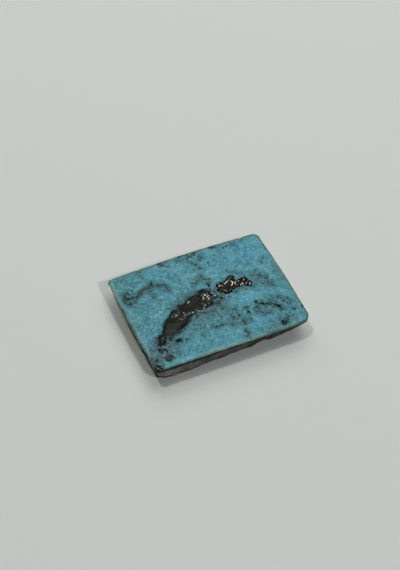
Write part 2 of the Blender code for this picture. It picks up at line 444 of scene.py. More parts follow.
pyritePatch = (
    (1.65, 0.9), (1.7, 1.3), (1.9, 1.6), (2.1, 1.85), (2.5, 1.9), (2.8, 1.75), (3.1, 1.8), (3.3, 2.0),
    (3.6, 2.2), (4.0, 2.4), (4.3, 2.25), (4.45, 2.0), (4.35, 1.75), (4.25, 1.5), (4.4, 1.35),
    (4.8, 1.35), (5.2, 1.35), (5.6, 1.5), (5.85, 1.1), (5.95, 0.9), (6.05, 0.6), (6.1, 0.3),
    (6.0, 0.0), (5.85, -0.25), (5.6, -0.2), (5.3, 0.0), (5.1, 0.2), (4.9, 0.3), (4.4, 0.25),
    (4.1, 0.3), (3.8, 0.3), (3.5, 0.2), (3.3, 0.0), (3.0, -0.15), (2.7, -0.25), (2.4, -0.15),
    (2.1, 0.15), (1.75, 0.5),
)

# each drawn mark below: its width in mm, its strength, then the places that it runs through
oliveMarks = (
    # towards the left and back
    (0.28, 1.0, (-9.3, 3.2), (-9.15, 3.9), (-8.9, 4.3), (-8.6, 4.45)),
    (0.30, 1.0, (-8.85, 3.65), (-8.4, 3.6), (-8.0, 3.55), (-7.6, 3.5)),
    (0.25, 0.8, (-9.1, 3.0), (-8.9, 2.8)), (0.25, 0.7, (-8.2, 2.85)), (0.20, 0.7, (-8.75, 2.4)),
    (0.16, 0.7, (-8.6, 2.1), (-7.9, 2.1)), (0.25, 0.6, (-7.6, 2.3)),
    (0.30, 0.7, (-8.8, 4.7), (-8.2, 4.8), (-7.9, 4.6)),
    (0.28, 0.9, (-7.5, 3.7), (-7.0, 3.9), (-6.7, 4.2), (-6.4, 4.4), (-6.0, 4.55), (-5.7, 4.4),
     (-5.4, 4.55), (-5.3, 4.75), (-5.25, 5.2)),
    (0.28, 0.8, (-5.3, 4.2), (-5.0, 4.4), (-4.7, 4.2), (-4.4, 4.0), (-3.9, 4.1), (-3.6, 4.0)),
    (0.28, 0.7, (-6.4, 3.9), (-6.1, 3.8), (-5.9, 3.6), (-6.1, 3.35), (-5.8, 3.2)),
    (0.20, 0.8, (-5.95, 2.9), (-5.8, 2.6)), (0.28, 0.5, (-6.3, 2.3), (-5.9, 2.2)),
    (0.22, 0.6, (-5.2, 2.05), (-5.4, 1.5)), (0.22, 0.6, (-4.3, 3.0)),
    (0.20, 0.7, (-3.7, 3.7), (-3.9, 3.0), (-3.5, 2.5)), (0.20, 0.6, (-4.3, 1.3)),
    (0.24, 0.6, (-1.95, 3.9), (-2.0, 4.4)), (0.20, 0.6, (-2.5, 3.9)), (0.22, 0.5, (-2.1, 5.0)),
    (0.26, 0.5, (-7.35, 5.3)), (0.30, 0.5, (-8.5, 6.7)),
    (0.24, 0.6, (-6.5, 6.7), (-6.1, 6.4), (-5.9, 6.0), (-5.7, 5.7)), (0.26, 0.5, (-4.75, 5.6)),
    (0.28, 0.5, (-2.2, 5.8), (-2.5, 6.3)), (0.26, 0.5, (-3.6, 6.3)),
    (0.26, 0.8, (-6.1, 7.55), (-5.9, 7.2)), (0.34, 0.9, (-3.5, 7.5), (-3.1, 7.3)),
    (0.36, 0.7, (-3.2, 7.1), (-2.4, 7.3)), (0.26, 0.6, (-2.6, 6.9), (-2.4, 6.7)),
    (0.30, 0.7, (-0.9, 7.3), (-1.0, 6.9)), (0.16, 0.8, (-0.6, 7.6), (0.2, 7.6)),
    (0.16, 0.9, (0.3, 6.6), (0.3, 7.2)), (0.24, 0.6, (-0.3, 6.9)), (0.28, 0.6, (-9.3, 7.3)),
    (0.26, 0.6, (-0.45, 3.1), (-0.1, 2.7)), (0.24, 0.6, (-0.5, 3.8)), (0.24, 0.5, (-2.4, 2.35)),
    (0.20, 0.5, (-9.3, -0.3)),
    # towards the right and back
    (0.20, 0.7, (1.5, 7.35)), (0.26, 0.9, (3.4, 7.45), (4.2, 7.45)), (0.30, 0.5, (5.0, 7.5)),
    (0.26, 0.8, (5.1, 6.8), (5.5, 6.9)), (0.40, 0.8, (6.2, 7.1), (6.2, 6.8), (6.4, 6.5)),
    (0.34, 0.6, (7.6, 7.2)), (0.24, 0.6, (4.3, 6.6)), (0.22, 0.7, (1.6, 6.0), (1.8, 5.8)),
    (0.24, 0.7, (0.8, 5.5), (0.75, 5.8), (0.5, 5.9), (0.3, 6.3)), (0.20, 0.8, (2.45, 5.3), (2.3, 4.9)),
    (0.24, 0.7, (0.8, 5.1), (1.0, 4.7), (1.5, 4.8)), (0.20, 0.6, (0.4, 4.4), (0.4, 5.0)),
    (0.24, 0.7, (0.7, 3.8), (0.9, 3.5), (0.8, 3.0), (0.6, 2.9), (0.2, 2.7)), (0.22, 0.6, (0.0, 3.2)),
    (0.26, 0.6, (1.0, 2.7), (1.4, 2.8)), (0.18, 0.5, (4.0, 3.2), (4.6, 2.5)),
    (0.18, 0.6, (5.5, 2.4), (5.6, 1.9)), (0.22, 0.6, (6.7, 1.45)), (0.20, 0.6, (6.75, 3.05)),
    (0.20, 0.5, (6.7, 4.2)), (0.20, 0.5, (4.8, 4.15)), (0.22, 0.7, (8.95, 3.5), (8.6, 3.0)),
    (0.42, 0.7, (7.4, 0.9), (7.8, 0.5), (8.1, 0.3)), (0.22, 0.9, (7.35, 1.0)), (0.20, 0.8, (7.9, 0.75)),
    (0.24, 0.6, (9.3, 1.2)),
    # middle of the front half
    (0.24, 0.7, (-3.1, -3.8)), (0.24, 0.7, (-2.0, -3.9)), (0.22, 0.7, (-0.9, -3.25)),
    (0.34, 0.8, (-0.8, -4.2), (-0.3, -4.5), (0.2, -4.4)), (0.22, 0.6, (-0.6, -2.9)),
    (0.22, 0.6, (-1.6, -4.6)), (0.24, 0.6, (-2.8, -4.9), (-2.3, -5.1)), (0.22, 0.5, (-4.1, -4.8)),
    (0.22, 0.5, (-1.9, -5.3)), (0.24, 0.8, (1.2, -1.1)), (0.22, 0.8, (-0.2, -1.3)),
    (0.22, 0.7, (-0.3, -2.4)), (0.17, 0.7, (0.3, -2.4), (0.4, -3.1), (0.5, -3.8)),
    (0.22, 0.6, (0.5, -4.35)), (0.38, 0.8, (1.3, -4.8)), (0.24, 0.6, (1.2, -5.6)),
    (0.22, 0.8, (2.3, -2.7), (2.5, -2.9)), (0.24, 0.7, (2.2, -4.3)),
    (0.30, 0.8, (2.6, -4.8), (2.6, -5.2)), (0.22, 0.6, (3.3, -4.9)), (0.22, 0.6, (3.35, -3.2)),
    (0.20, 0.8, (3.6, -3.05), (4.1, -3.1), (3.8, -3.4), (3.75, -3.8), (3.8, -4.1)),
    (0.18, 0.7, (4.8, -3.6), (4.7, -4.1), (5.0, -4.3)), (0.18, 0.6, (5.0, -3.6)),
    (0.26, 0.5, (3.6, -0.9)), (0.24, 0.5, (3.4, -0.3)),
    # towards the right and front
    (0.20, 1.05, (5.2, -2.6), (5.5, -3.1), (6.0, -3.4), (6.4, -3.6), (6.8, -3.65), (7.0, -3.8),
     (7.1, -4.1), (7.4, -4.2), (7.7, -4.4), (7.6, -4.7), (7.5, -4.9)),
    (0.17, 0.85, (5.1, -3.3), (5.0, -4.0), (5.3, -4.6)), (0.24, 0.7, (5.5, -4.85), (5.8, -5.0)),
    (0.45, 0.6, (7.2, -3.0), (8.1, -3.1)), (0.22, 0.9, (8.45, -3.8), (8.5, -4.0)),
    (0.24, 0.7, (9.0, -4.3)), (0.24, 0.6, (8.7, -5.0)), (0.24, 0.6, (7.8, -5.9)),
    (0.24, 0.8, (7.5, -6.9), (7.7, -6.6), (7.3, -6.5)), (0.22, 0.6, (3.75, -5.9)),
    (0.28, 0.7, (2.2, -7.0), (2.2, -7.4)), (0.24, 0.6, (9.8, -0.3)), (0.30, 0.5, (7.2, -0.3)),
)

shadeMarks = (
    # broad, faint greenish-grey ground of the mottles
    (0.85, 1.15, (-8.9, 4.0), (-8.6, 3.0)),
    (0.60, 1.0, (-8.0, 3.7), (-7.2, 3.8), (-6.2, 4.3), (-5.2, 4.6)),
    (0.55, 0.85, (-4.8, 4.2), (-3.8, 3.9), (-3.8, 3.0)), (0.50, 0.85, (-6.0, 3.7), (-5.8, 2.8)),
    (0.45, 0.5, (-2.2, 4.2), (-2.0, 5.0)), (0.50, 0.6, (-6.2, 7.2), (-6.1, 6.4)),
    (0.60, 0.5, (-8.8, 7.0)), (0.55, 0.6, (-3.2, 7.3), (-2.4, 6.9)),
    (0.45, 0.5, (-0.9, 7.1), (0.3, 7.0), (1.2, 7.1)),
    (0.55, 0.55, (1.7, 6.4), (0.7, 5.7), (0.9, 5.0), (1.5, 5.0)), (0.50, 0.4, (2.0, 7.2), (2.4, 6.2)),
    (0.70, 1.05, (-0.3, 3.0), (0.5, 3.4), (1.0, 2.6)),
    (0.45, 0.45, (3.8, 7.3), (5.2, 7.1), (6.3, 7.1), (7.6, 7.2)),
    (0.80, 1.1, (7.2, 1.3), (7.6, 0.5), (7.9, -0.5)), (0.50, 0.8, (6.6, 1.8), (6.7, 0.2)),
    (0.45, 0.6, (4.2, 3.1), (5.4, 2.1)), (0.50, 0.6, (8.9, 3.6), (8.5, 2.9)),
    (0.50, 0.5, (-3.1, -3.9), (-2.6, -4.9)), (0.80, 0.50, (-0.9, -4.3), (0.1, -3.9), (0.3, -3.0)),
    (0.85, 0.9, (1.3, -2.2), (1.7, -3.2), (1.5, -4.6)),
    (0.60, 0.9, (2.4, -2.9), (2.5, -4.0), (2.5, -5.0), (3.3, -4.9)),
    (0.50, 0.8, (3.8, -3.2), (3.8, -4.0)), (0.55, 0.7, (-0.4, -2.7), (0.9, -1.5)),
    (0.65, 1.15, (5.0, -4.1), (5.4, -3.1), (6.3, -3.6), (7.2, -4.0), (7.7, -4.6)),
    (0.60, 0.95, (7.0, -3.0), (8.2, -3.2), (8.9, -4.2)), (0.60, 1.0, (5.5, -4.8), (6.4, -4.7)),
    (0.60, 0.5, (8.9, -5.2), (7.8, -5.9)), (0.90, 0.8, (7.1, -6.9)),
    (0.80, 0.75, (5.0, -7.0), (6.0, -6.4), (8.2, -6.4)), (0.45, 0.8, (2.4, -6.2), (2.2, -7.2)),
    (0.50, 0.6, (9.7, -0.4), (9.4, 1.2)), (0.50, 0.80, (-5.7, -4.7), (-5.1, -5.0), (-3.9, -4.6)),
    (0.85, 0.75, (-4.4, -3.3), (-2.9, -3.0), (-1.6, -2.9)), (0.70, 0.7, (-3.4, -3.9), (-2.2, -3.7)),
    (0.45, 0.85, (4.2, -0.1), (5.0, -0.2), (6.3, -0.4)),
    (0.40, 0.75, (4.3, 1.5), (4.9, 1.5), (5.6, 1.7), (6.3, 1.1)),
    (0.45, 0.9, (-4.6, 0.2), (-3.4, 0.8), (-2.2, 1.4), (-0.8, 1.6)),
    (0.60, 1.1, (-3.0, -2.5), (-1.6, -2.1), (0.2, -1.9), (1.6, -1.3), (2.2, -0.8)),
    (0.40, 0.9, (1.2, 1.6), (1.4, 0.6), (1.6, -0.2)),
)

mossMarks = (
    # dark green ground at the vein's wide end and along its front
    (0.55, 1.2, (0.5, 1.0), (0.8, 0.4), (0.8, -0.4), (0.4, -1.0)),
    (0.45, 1.1, (1.0, 0.2), (1.3, -0.4), (1.6, -0.5)), (0.30, 0.7, (-0.4, -1.25), (0.3, -1.2)),
    (0.35, 1.0, (-2.9, -1.9), (-2.0, -1.7), (-1.0, -1.7)),
    (0.35, 0.60, (3.4, -0.4), (4.4, -0.1), (5.2, -0.2)),
)

brownMarks = (
    (0.30, 0.9, (0.5, 7.2), (1.3, 7.2)), (0.26, 0.9, (1.55, 6.35), (2.05, 6.35)), (0.22, 0.8, (1.1, 5.0)),
    (0.24, 0.5, (5.6, 6.3)), (0.22, 0.7, (1.3, 2.15)), (0.24, 0.8, (1.7, -3.65), (1.7, -4.1)),
    (0.26, 0.6, (1.5, -2.9)), (0.26, 0.9, (2.4, -6.1), (2.4, -6.6)), (0.24, 0.6, (6.1, -4.7)),
    (0.24, 0.8, (8.9, -3.65)), (0.26, 0.7, (7.9, -0.6), (7.9, -1.0)),
    (0.42, 1.3, (-7.65, -6.5), (-7.4, -6.5)), (0.30, 0.6, (-7.9, -3.4), (-7.3, -2.9)),
)

blackMarks = (
    # lower left, beyond the vein's narrow end
    (0.30, 1.2, (-7.75, -4.3), (-7.4, -4.3), (-7.1, -4.05)), (0.22, 0.9, (-7.0, -3.75), (-6.8, -3.6)),
    (0.20, 0.9, (-7.3, -3.2), (-7.0, -3.0)), (0.26, 1.1, (-7.3, -3.2), (-7.6, -3.75), (-7.7, -4.1)),
    (0.20, 0.8, (-6.4, -4.1), (-6.0, -3.8)), (0.26, 1.2, (-5.7, -4.5), (-5.4, -4.6)),
    (0.14, 0.6, (-5.3, -4.9), (-5.1, -4.8)), (0.20, 1.0, (-8.2, -4.9), (-8.05, -5.4)),
    (0.26, 0.75, (-7.8, -5.2), (-7.5, -5.35)), (0.15, 0.7, (-6.85, -4.9)),
    (0.12, 0.9, (-7.95, -6.4), (-7.95, -6.65), (-7.7, -6.85), (-7.4, -6.85)),
    (0.12, 0.8, (-7.1, -6.6), (-7.2, -6.3)), (0.16, 0.8, (-8.9, -6.15), (-9.05, -6.4)),
    (0.14, 0.7, (-9.45, -6.0)), (0.38, 0.60, (-7.2, -3.7), (-6.6, -3.7), (-6.2, -3.9)),
    (0.17, 1.1, (-9.3, -6.9), (-9.0, -7.3)), (0.15, 1.1, (-9.55, -7.2), (-9.45, -7.65), (-8.9, -7.65)),
    # back edge
    (0.13, 0.6, (-2.4, 7.65), (-3.6, 7.6)), (0.13, 0.6, (-0.7, 7.65), (0.5, 7.7)),
    (0.12, 0.5, (3.2, 7.65), (4.4, 7.6)), (0.18, 0.7, (-3.4, 7.5)),
    # along the vein's edge
    (0.14, 1.0, (-6.75, -2.9), (-6.5, -2.4), (-6.25, -1.95)), (0.16, 0.9, (-5.85, -1.5)),
    (0.14, 1.2, (-4.8, -0.65), (-4.45, -0.15)), (0.17, 0.8, (-3.7, 0.3), (-3.2, 0.45)),
    (0.14, 0.5, (-2.6, 0.9), (-2.2, 0.95), (-1.8, 1.0)), (0.20, 0.9, (-4.4, -2.7), (-4.2, -2.6)),
    (0.22, 0.8, (-5.8, -3.5), (-5.5, -3.4)), (0.16, 0.8, (-6.3, -3.2)),
    (0.17, 0.8, (-3.5, -2.25), (-3.3, -2.05)), (0.24, 1.2, (-0.35, 1.3), (0.0, 1.45)),
    (0.17, 0.9, (0.2, 1.05)),
    # broken ground at the vein's wide end
    (0.13, 0.9, (0.65, 0.95)), (0.13, 0.9, (0.65, 0.6)), (0.15, 1.1, (0.8, 0.35)),
    (0.16, 1.0, (0.25, -0.5), (0.4, -0.95)), (0.18, 0.9, (-0.1, -0.95)), (0.18, 0.8, (0.7, -0.3)),
    (0.16, 0.8, (0.85, -1.0)), (0.16, 0.9, (1.2, -1.1)), (0.22, 1.2, (1.65, -0.55)),
    (0.14, 0.8, (1.35, -0.35)), (0.14, 0.8, (0.9, 1.2)), (0.15, 1.0, (0.95, 2.1), (0.95, 1.8)),
    (0.13, 0.8, (1.2, 0.75)), (0.15, 1.1, (0.95, 0.0), (1.1, -0.15)), (0.15, 1.0, (1.35, 0.05)),
    (0.15, 1.0, (1.1, -0.6)), (0.13, 1.0, (1.8, -0.75)), (0.15, 1.1, (1.18, -0.19)),
    (0.15, 1.1, (1.13, -1.1)), (0.14, 1.0, (0.33, -0.95)),
    # elsewhere
    (0.13, 1.0, (2.6, -3.85)), (0.18, 0.8, (3.75, -3.8)), (0.18, 1.0, (7.2, -4.15), (7.6, -4.45)),
    (0.15, 0.85, (5.6, -3.2), (6.3, -3.5)), (0.14, 0.8, (5.2, -2.75)), (0.20, 1.0, (9.0, -5.4)),
    (0.15, 1.1, (6.95, -6.6), (6.95, -7.1)), (0.14, 0.8, (7.2, -7.1), (7.3, -6.8)),
    (0.12, 0.6, (7.5, -6.5), (6.6, -6.9)), (0.16, 0.8, (-6.0, 4.6)), (0.16, 0.8, (-5.3, 4.75)),
    (0.16, 0.8, (-7.6, 3.6)), (0.17, 0.9, (-8.85, 3.7)), (0.15, 0.8, (-9.2, 3.3)),
    (0.18, 1.0, (10.1, -5.5)), (0.13, 0.8, (-2.6, -1.6)), (0.13, 0.8, (-2.1, -1.9)),
    (0.13, 0.8, (-1.3, -1.9)), (0.13, 0.7, (-2.0, -2.3)), (0.13, 0.8, (-0.2, -2.0)),
    (0.13, 0.7, (-0.3, -2.6)),
)

hazeMarks = (
    (0.45, 1.0, (-7.6, -3.3), (-6.8, -3.6), (-6.2, -3.9)),
    (0.70, 1.0, (-9.2, -6.9), (-8.9, -6.0), (-8.6, -5.2), (-8.0, -4.4), (-7.5, -3.6)),
    (0.72, 0.95, (-7.5, -6.0), (-7.4, -5.3), (-7.1, -4.4), (-6.5, -3.8)),
    (0.42, 0.8, (-6.4, -4.3), (-5.7, -4.5)), (0.34, 0.8, (-6.1, -5.0), (-6.2, -5.6), (-6.5, -6.4)),
    (0.42, 0.8, (-5.2, -3.5), (-4.3, -3.1), (-3.6, -2.6)),
    (0.40, 0.7, (-3.2, -2.3), (-2.2, -2.0), (-1.2, -1.9), (-0.2, -1.7), (0.6, -1.5)),
    (0.30, 0.7, (1.3, 1.1), (1.5, 0.3)), (0.34, 0.6, (1.2, -1.95)),
)

veinPaleMarks = (
    # smooth brown-grey parts of the vein
    (0.55, 1.2, (-6.3, -2.5), (-6.0, -2.8), (-5.6, -3.0)),
    (0.50, 0.8, (-5.7, -2.1), (-5.2, -2.4), (-4.6, -2.3)), (0.40, 0.7, (-4.2, -1.9), (-3.9, -2.1)),
    (0.45, 0.6, (-2.4, -0.3), (-1.4, 0.3)), (0.30, 0.7, (-2.2, 0.35), (-1.6, 0.7)),
)

veinGrainyMarks = (
    # parts of the vein full of pale specks
    (0.42, 1.0, (-5.0, -0.8), (-4.4, -0.9), (-4.0, -0.6)),
    (0.40, 1.0, (-4.4, -1.5), (-3.7, -1.5), (-3.2, -1.3), (-2.8, -1.2)),
    (0.30, 0.8, (-4.3, -0.2), (-3.9, -0.2)), (0.34, 0.8, (-3.2, 0.4), (-2.6, 0.6), (-2.1, 0.5)),
    (0.45, 0.9, (-0.8, -0.6), (-0.4, 0.3), (-0.2, 0.8)),
    (0.40, 1.0, (0.2, 0.7), (0.2, -0.2), (-0.3, -0.8)),
    (0.30, 0.9, (-2.3, -1.1), (-1.5, -1.1), (-0.8, -0.9)),
)

greenMarks = (
    (4.6, 1.0, (-9.5, -5.0), (-9.5, 7.0)), (1.2, 0.7, (-4.4, 0.8), (-2.0, 2.0)),
    (1.6, 0.6, (-1.0, -4.0), (2.5, -4.5)), (1.4, 0.6, (7.5, -3.6)), (1.2, 0.6, (7.6, 0.6)),
    (1.2, 0.5, (-3.0, -7.2), (2.5, -7.2)), (0.8, 1.1, (9.9, -5.2), (10.0, 1.2)),
)

paintedEdgeShadeMarks = (
    # where painted shade darkens the top of the wall under the lapped face's edge
    (1.6, 1.0, (-9.6, -7.9), (-3.0, -7.9)), (1.0, 0.75, (-3.0, -7.9), (0.5, -7.9)),
    (0.8, 0.25, (1.0, -7.9), (9.5, -7.7)), (1.3, 0.28, (-9.8, -7.0), (-10.2, 2.0)),
    (0.9, 0.35, (10.3, -6.3), (10.2, 5.0)), (0.7, 0.35, (-3.0, 7.8), (6.6, 7.8)),
)

paintedHighlightLineMarks = (
    # painted highlight: paler turquoise just inside the edge
    (0.8, 0.5, (-9.0, -7.6), (-6.8, -7.6)), (0.8, 1.0, (-6.0, -7.6), (0.0, -7.7)),
    (0.8, 0.4, (0.0, -7.7), (9.0, -7.7)), (0.7, 1.0, (-9.7, -5.5), (-10.1, 0.5)),
    (0.8, 0.8, (-10.2, 2.5), (-10.1, 7.3), (-8.8, 7.6)),
)

blueMarks = (
    (0.9, 0.5, (4.4, -1.8)), (0.8, 0.9, (4.5, -5.5)), (0.7, 0.7, (5.5, 5.6)), (0.6, 0.6, (3.0, 3.7)),
    (0.6, 0.6, (-1.0, 3.7)), (0.7, 0.6, (-4.6, 2.5)), (0.8, 0.6, (-9.0, -2.5)), (0.7, 0.3, (7.0, -1.5)),
    (0.6, 0.8, (9.4, -2.6)), (0.6, 0.6, (8.9, 0.2)), (0.6, 0.5, (0.7, -6.9)), (0.7, 0.6, (-4.5, -5.9)),
    (0.6, 0.3, (-1.0, -5.8)), (2.0, 0.5, (7.2, 5.2)), (1.6, 0.5, (3.4, 4.2)), (1.2, 0.4, (-5.0, 6.4)),
)

paleMarks = (
    (0.11, 0.8, (-4.5, -1.05)), (0.11, 0.8, (-4.3, -0.95)), (0.10, 0.8, (-3.4, -0.95)),
    (0.10, 0.8, (-3.3, -1.2)), (0.10, 0.8, (-3.1, -1.4)), (0.10, 0.7, (-4.0, -1.65)),
    (0.10, 0.7, (-3.5, -1.4)), (0.12, 0.9, (-2.7, -1.3)), (0.10, 0.7, (-2.2, -1.3)),
    (0.10, 0.7, (-1.9, -1.2)), (0.10, 0.7, (-1.75, -1.35)), (0.10, 0.7, (-1.5, -1.45)),
    (0.10, 0.8, (-1.9, -1.7)), (0.11, 0.9, (-1.3, -1.45)), (0.10, 0.9, (-1.0, -1.3)),
    (0.10, 0.9, (-0.8, -1.1)), (0.13, 1.2, (-0.6, -0.8)), (0.09, 0.7, (-1.2, -0.25)),
    (0.10, 0.8, (-0.1, -0.7)), (0.10, 0.7, (-2.4, -1.85)), (0.10, 0.7, (-1.7, -2.2)),
    (0.10, 0.7, (-0.4, -1.6)), (0.10, 0.7, (-0.1, -1.6)), (0.10, 0.8, (1.05, 0.05)),
    (0.11, 0.8, (-9.25, -7.45)), (0.10, 1.0, (1.1, 0.1)), (0.09, 1.0, (1.9, -0.45)),
    (0.10, 0.8, (-2.5, -1.85)), (0.09, 0.8, (-4.85, -0.85)), (0.09, 0.8, (-4.45, -1.0)),
    (0.10, 0.8, (-3.45, -0.85)), (0.09, 0.7, (0.85, 0.75), (1.0, 0.4)), (0.09, 0.8, (1.05, -0.3)),
    (0.10, 1.0, (1.2, -0.57)), (0.10, 0.9, (1.35, -1.11)), (0.09, 0.9, (1.45, 0.35)),
    (0.09, 0.9, (1.6, -0.2)), (0.08, 0.8, (1.55, -0.75)),
)

lightMarks = (
    (0.16, 1.6, (-5.55, -7.3)), (0.12, 1.0, (-5.0, -7.2)),
    # paler green-white turquoise
    (0.24, 0.8, (-6.3, 0.1), (-5.9, 0.2)), (0.17, 0.8, (-6.6, 0.0)), (0.22, 0.8, (-3.9, 1.9)),
    (0.18, 0.8, (-3.4, 1.6)), (0.18, 0.7, (-2.8, 1.3)), (0.30, 0.7, (-9.3, 1.7)),
    (0.16, 0.7, (-6.6, -5.7)), (0.16, 0.8, (-6.5, -6.6)), (0.14, 1.0, (-9.0, -5.8), (-8.6, -5.3)),
    (0.14, 0.8, (-7.5, -5.4), (-7.2, -5.7)), (0.14, 0.8, (-6.95, -4.55)), (0.24, 0.6, (-4.4, -6.9)),
    (0.20, 0.6, (-6.0, -7.3), (-6.4, -7.4)), (0.20, 0.6, (2.0, 5.3)), (0.22, 0.6, (6.6, 2.8)),
    (0.20, 0.7, (-9.7, -5.3)), (0.20, 0.6, (-8.9, -1.0)), (0.22, 0.6, (4.4, 5.6)),
    (0.22, 0.5, (8.6, 5.2)),
)


def distanceAlong(places, x, y):
    # distance to the line through the places
    nearest = np.full(x.shape, 1e9)
    for (x0, y0), (x1, y1) in zip(places, places[1:] or places):
        runX, runY = x1 - x0, y1 - y0
        along = ((x - x0) * runX + (y - y0) * runY) / max(runX * runX + runY * runY, 1e-9)
        along = np.clip(along, 0.0, 1.0)
        nearest = np.minimum(nearest, np.hypot(x - x0 - along * runX, y - y0 - along * runY))
    return nearest


def depthInside(outline, x, y):
    # distance to the outline, positive inside it
    closed = outline + outline[:1]
    inside = np.zeros(x.shape, bool)
    for (x0, y0), (x1, y1) in zip(closed, closed[1:]):
        if y0 == y1:
            continue
        crosses = (y0 > y) != (y1 > y)
        inside ^= crosses & (x < (x1 - x0) * (y - y0) / (y1 - y0) + x0)
    return np.where(inside, 1.0, -1.0) * distanceAlong(closed, x, y)


def marksField(marks, x, y, wider, flat):
    # each mark fades out from its line; flat is how level it stays before that
    field = np.zeros(x.shape)
    for width, strength, *places in marks:
        away = distanceAlong(places, x, y) / (wider * width)
        field = np.maximum(field, strength * np.exp(-away ** flat))
    return field


def layerOf(mesh, name):
    values = np.empty(len(mesh.vertices), np.float32)
    mesh.attributes[name].data.foreach_get("value", values)
    return values


def keepLayer(mesh, name, values):
    mesh.attributes.new(name, "FLOAT", "POINT").data.foreach_set("value", values.astype(np.float32))


drawnFields = {
    # marks, whether their edges are ragged, how many times wider, how level they stay before they fade
    "olive": (oliveMarks, True, 1.3, 2.0),
    "brown": (brownMarks, True, 1.25, 2.0),
    "black": (blackMarks, True, 1.2, 2.0),
    "haze": (hazeMarks, True, 1.1, 3.5),
    "blue": (blueMarks, True, 1.0, 2.0),
    "pale": (paleMarks, False, 1.0, 2.0),
    "green": (greenMarks, False, 1.0, 2.0),
    "paintedEdgeShade": (paintedEdgeShadeMarks, False, 1.0, 2.0),
    "shade": (shadeMarks, True, 1.15, 3.0),
    "moss": (mossMarks, True, 1.1, 3.0),
    "veinPale": (veinPaleMarks, True, 1.0, 2.0),
    "veinGrainy": (veinGrainyMarks, True, 1.1, 3.0),
    "light": (lightMarks, True, 1.0, 2.0),
    "paintedHighlightLine": (paintedHighlightLineMarks, False, 1.0, 2.0),
}

relief = {
    # sizes and heights in mm
    "wave": {"size": 4.5, "height": 0.010, "seed": (0.7, 3.9, 6.1)},
    "tooth": {"size": 0.24, "height": 0.006, "seed": (9.2, 1.1, 4.4)},
    "veinDepth": 0.030, "veinTooth": 0.022, "veinEdge": (-0.05, 0.16),
    "pitDepth": 0.035, "pitTooth": 0.4, "pitEdge": (0.5, 0.9),
    "crumble": {"size": 0.30, "seed": (2.2, 7.1, 5.5)},  # makes the vein and pits sink unevenly
    "calmEdge": 0.25,  # the relief fades out over this border of the face
    # black gathers round the vein, and round the patch from a little way inside it
    "blackBorder": {"intoPatch": 0.15, "reach": 0.20, "strength": 0.50},
    # raggedness of the drawn marks: size, reach, seed
    "warp": ((0.9, 0.12, (3.1, 8.4, 5.2)), (0.30, 0.16, (7.7, 2.9, 9.5))),
}


def smoothStep(values, low, high):
    t = np.clip((values - low) / (high - low), 0.0, 1.0)
    return t * t * (3.0 - 2.0 * t)


def noiseAt(points, size, seed):
    seedPoint = Vector(seed)
    return np.array([noise.noise(Vector(point) / size + seedPoint) for point in points])


def warped(points, x, y):
    # drawn marks get ragged edges by being read at places shifted by two sizes of noise
    shiftX, shiftY = x.copy(), y.copy()
    for size, reach, seed in relief["warp"]:
        shiftX += reach * noiseAt(points, size, seed)
        shiftY += reach * noiseAt(points, size, seed[::-1])
    return shiftX, shiftY


def faceFields(points, placeU, placeV):
    # how strongly each drawn pattern shows at each point, and how far in it is from the edge
    x, y = points[:, 0], points[:, 1]
    wx, wy = warped(points * (1.0, 1.0, 0.0), x, y)
    lineX, lineY = (x + wx) / 2.0, (y + wy) / 2.0  # outlines are only half as ragged as marks
    fromSides = ((1.0 - np.abs(placeU)) * slab["length"], (1.0 - np.abs(placeV)) * slab["width"])
    fields = {"vein": depthInside(darkVein, lineX, lineY), "patch": depthInside(pyritePatch, lineX, lineY),
              "edge": np.minimum(*fromSides) / 2.0}
    for name, (marks, ragged, wider, flat) in drawnFields.items():
        fields[name] = marksField(marks, wx if ragged else x, wy if ragged else y, wider, flat)
    border = relief["blackBorder"]
    outside = np.minimum(np.maximum(fields["vein"], fields["patch"] - border["intoPatch"]), 0.0)
    halo = border["strength"] * np.exp(-(outside / border["reach"]) ** 2)
    fields["black"] = np.maximum(fields["black"], halo)
    return fields


def sinkFace(points, fields, lapped):
    # gives the lapped points a slight wave and tooth, sinks the vein and the patch, and pits the black spots
    flat = points[lapped]
    rise = np.zeros(len(lapped))
    for shape in (relief["wave"], relief["tooth"]):
        rise += shape["height"] * noiseAt(flat, shape["size"], shape["seed"])
    crumble = noiseAt(flat, relief["crumble"]["size"], relief["crumble"]["seed"])
    soft = np.maximum(smoothStep(fields["vein"][lapped], *relief["veinEdge"]),
                      smoothStep(fields["patch"][lapped], *relief["veinEdge"]))
    rise -= soft * (relief["veinDepth"] - relief["veinTooth"] * crumble)
    pits = smoothStep(fields["black"][lapped] + relief["pitTooth"] * crumble, *relief["pitEdge"])
    rise -= relief["pitDepth"] * pits * (1.0 - soft)
    points[lapped, 2] += rise * smoothStep(fields["edge"][lapped], 0.0, relief["calmEdge"])


def nearSide(place, size):
    # 1 at the front or the left side, and fading over the first few mm from it
    return np.exp(-np.maximum((1.0 + place) * size / 2.0, 0.0))


def wallFields(points, level, placeU, placeV, edge):
    # depth, thinness, tone with painted light on the left wall, nearness to the foot and the turn from face
    # to wall, at each point
    nearFront, nearLeft = nearSide(placeV, slab["width"]), nearSide(placeU, slab["length"])
    sideToneAndPaintedLight = walls["otherTone"] + (walls["leftPaintedLight"] - walls["otherTone"]) * nearLeft
    frontTone = np.interp(points[:, 0], *zip(*walls["frontTone"]))
    thickness = np.array([backDepth(u, v) for u, v in zip(placeU, placeV)])
    arrisRows, wallRows = walls["arris"]["rows"], walls["rows"] + 1.0
    rows = level * (wallRows + arrisRows)
    onBorder = np.maximum(np.abs(placeU), np.abs(placeV)) > borderPlace
    foot = np.where(onBorder, (rows - arrisRows) / wallRows, 1.0 - edge / walls["footShadeReach"])
    return {
        "wallDepth": slab["thickness"] - points[:, 2],
        "thin": smoothStep(thickness, *walls["thinEdge"]) * (1.0 - nearFront),
        "wallToneAndPaintedLight": sideToneAndPaintedLight + (frontTone - sideToneAndPaintedLight) * nearFront,
        "foot": np.clip(foot, 0.0, 1.0),
        "side": np.clip(rows / arrisRows, 0.0, 1.0),
    }


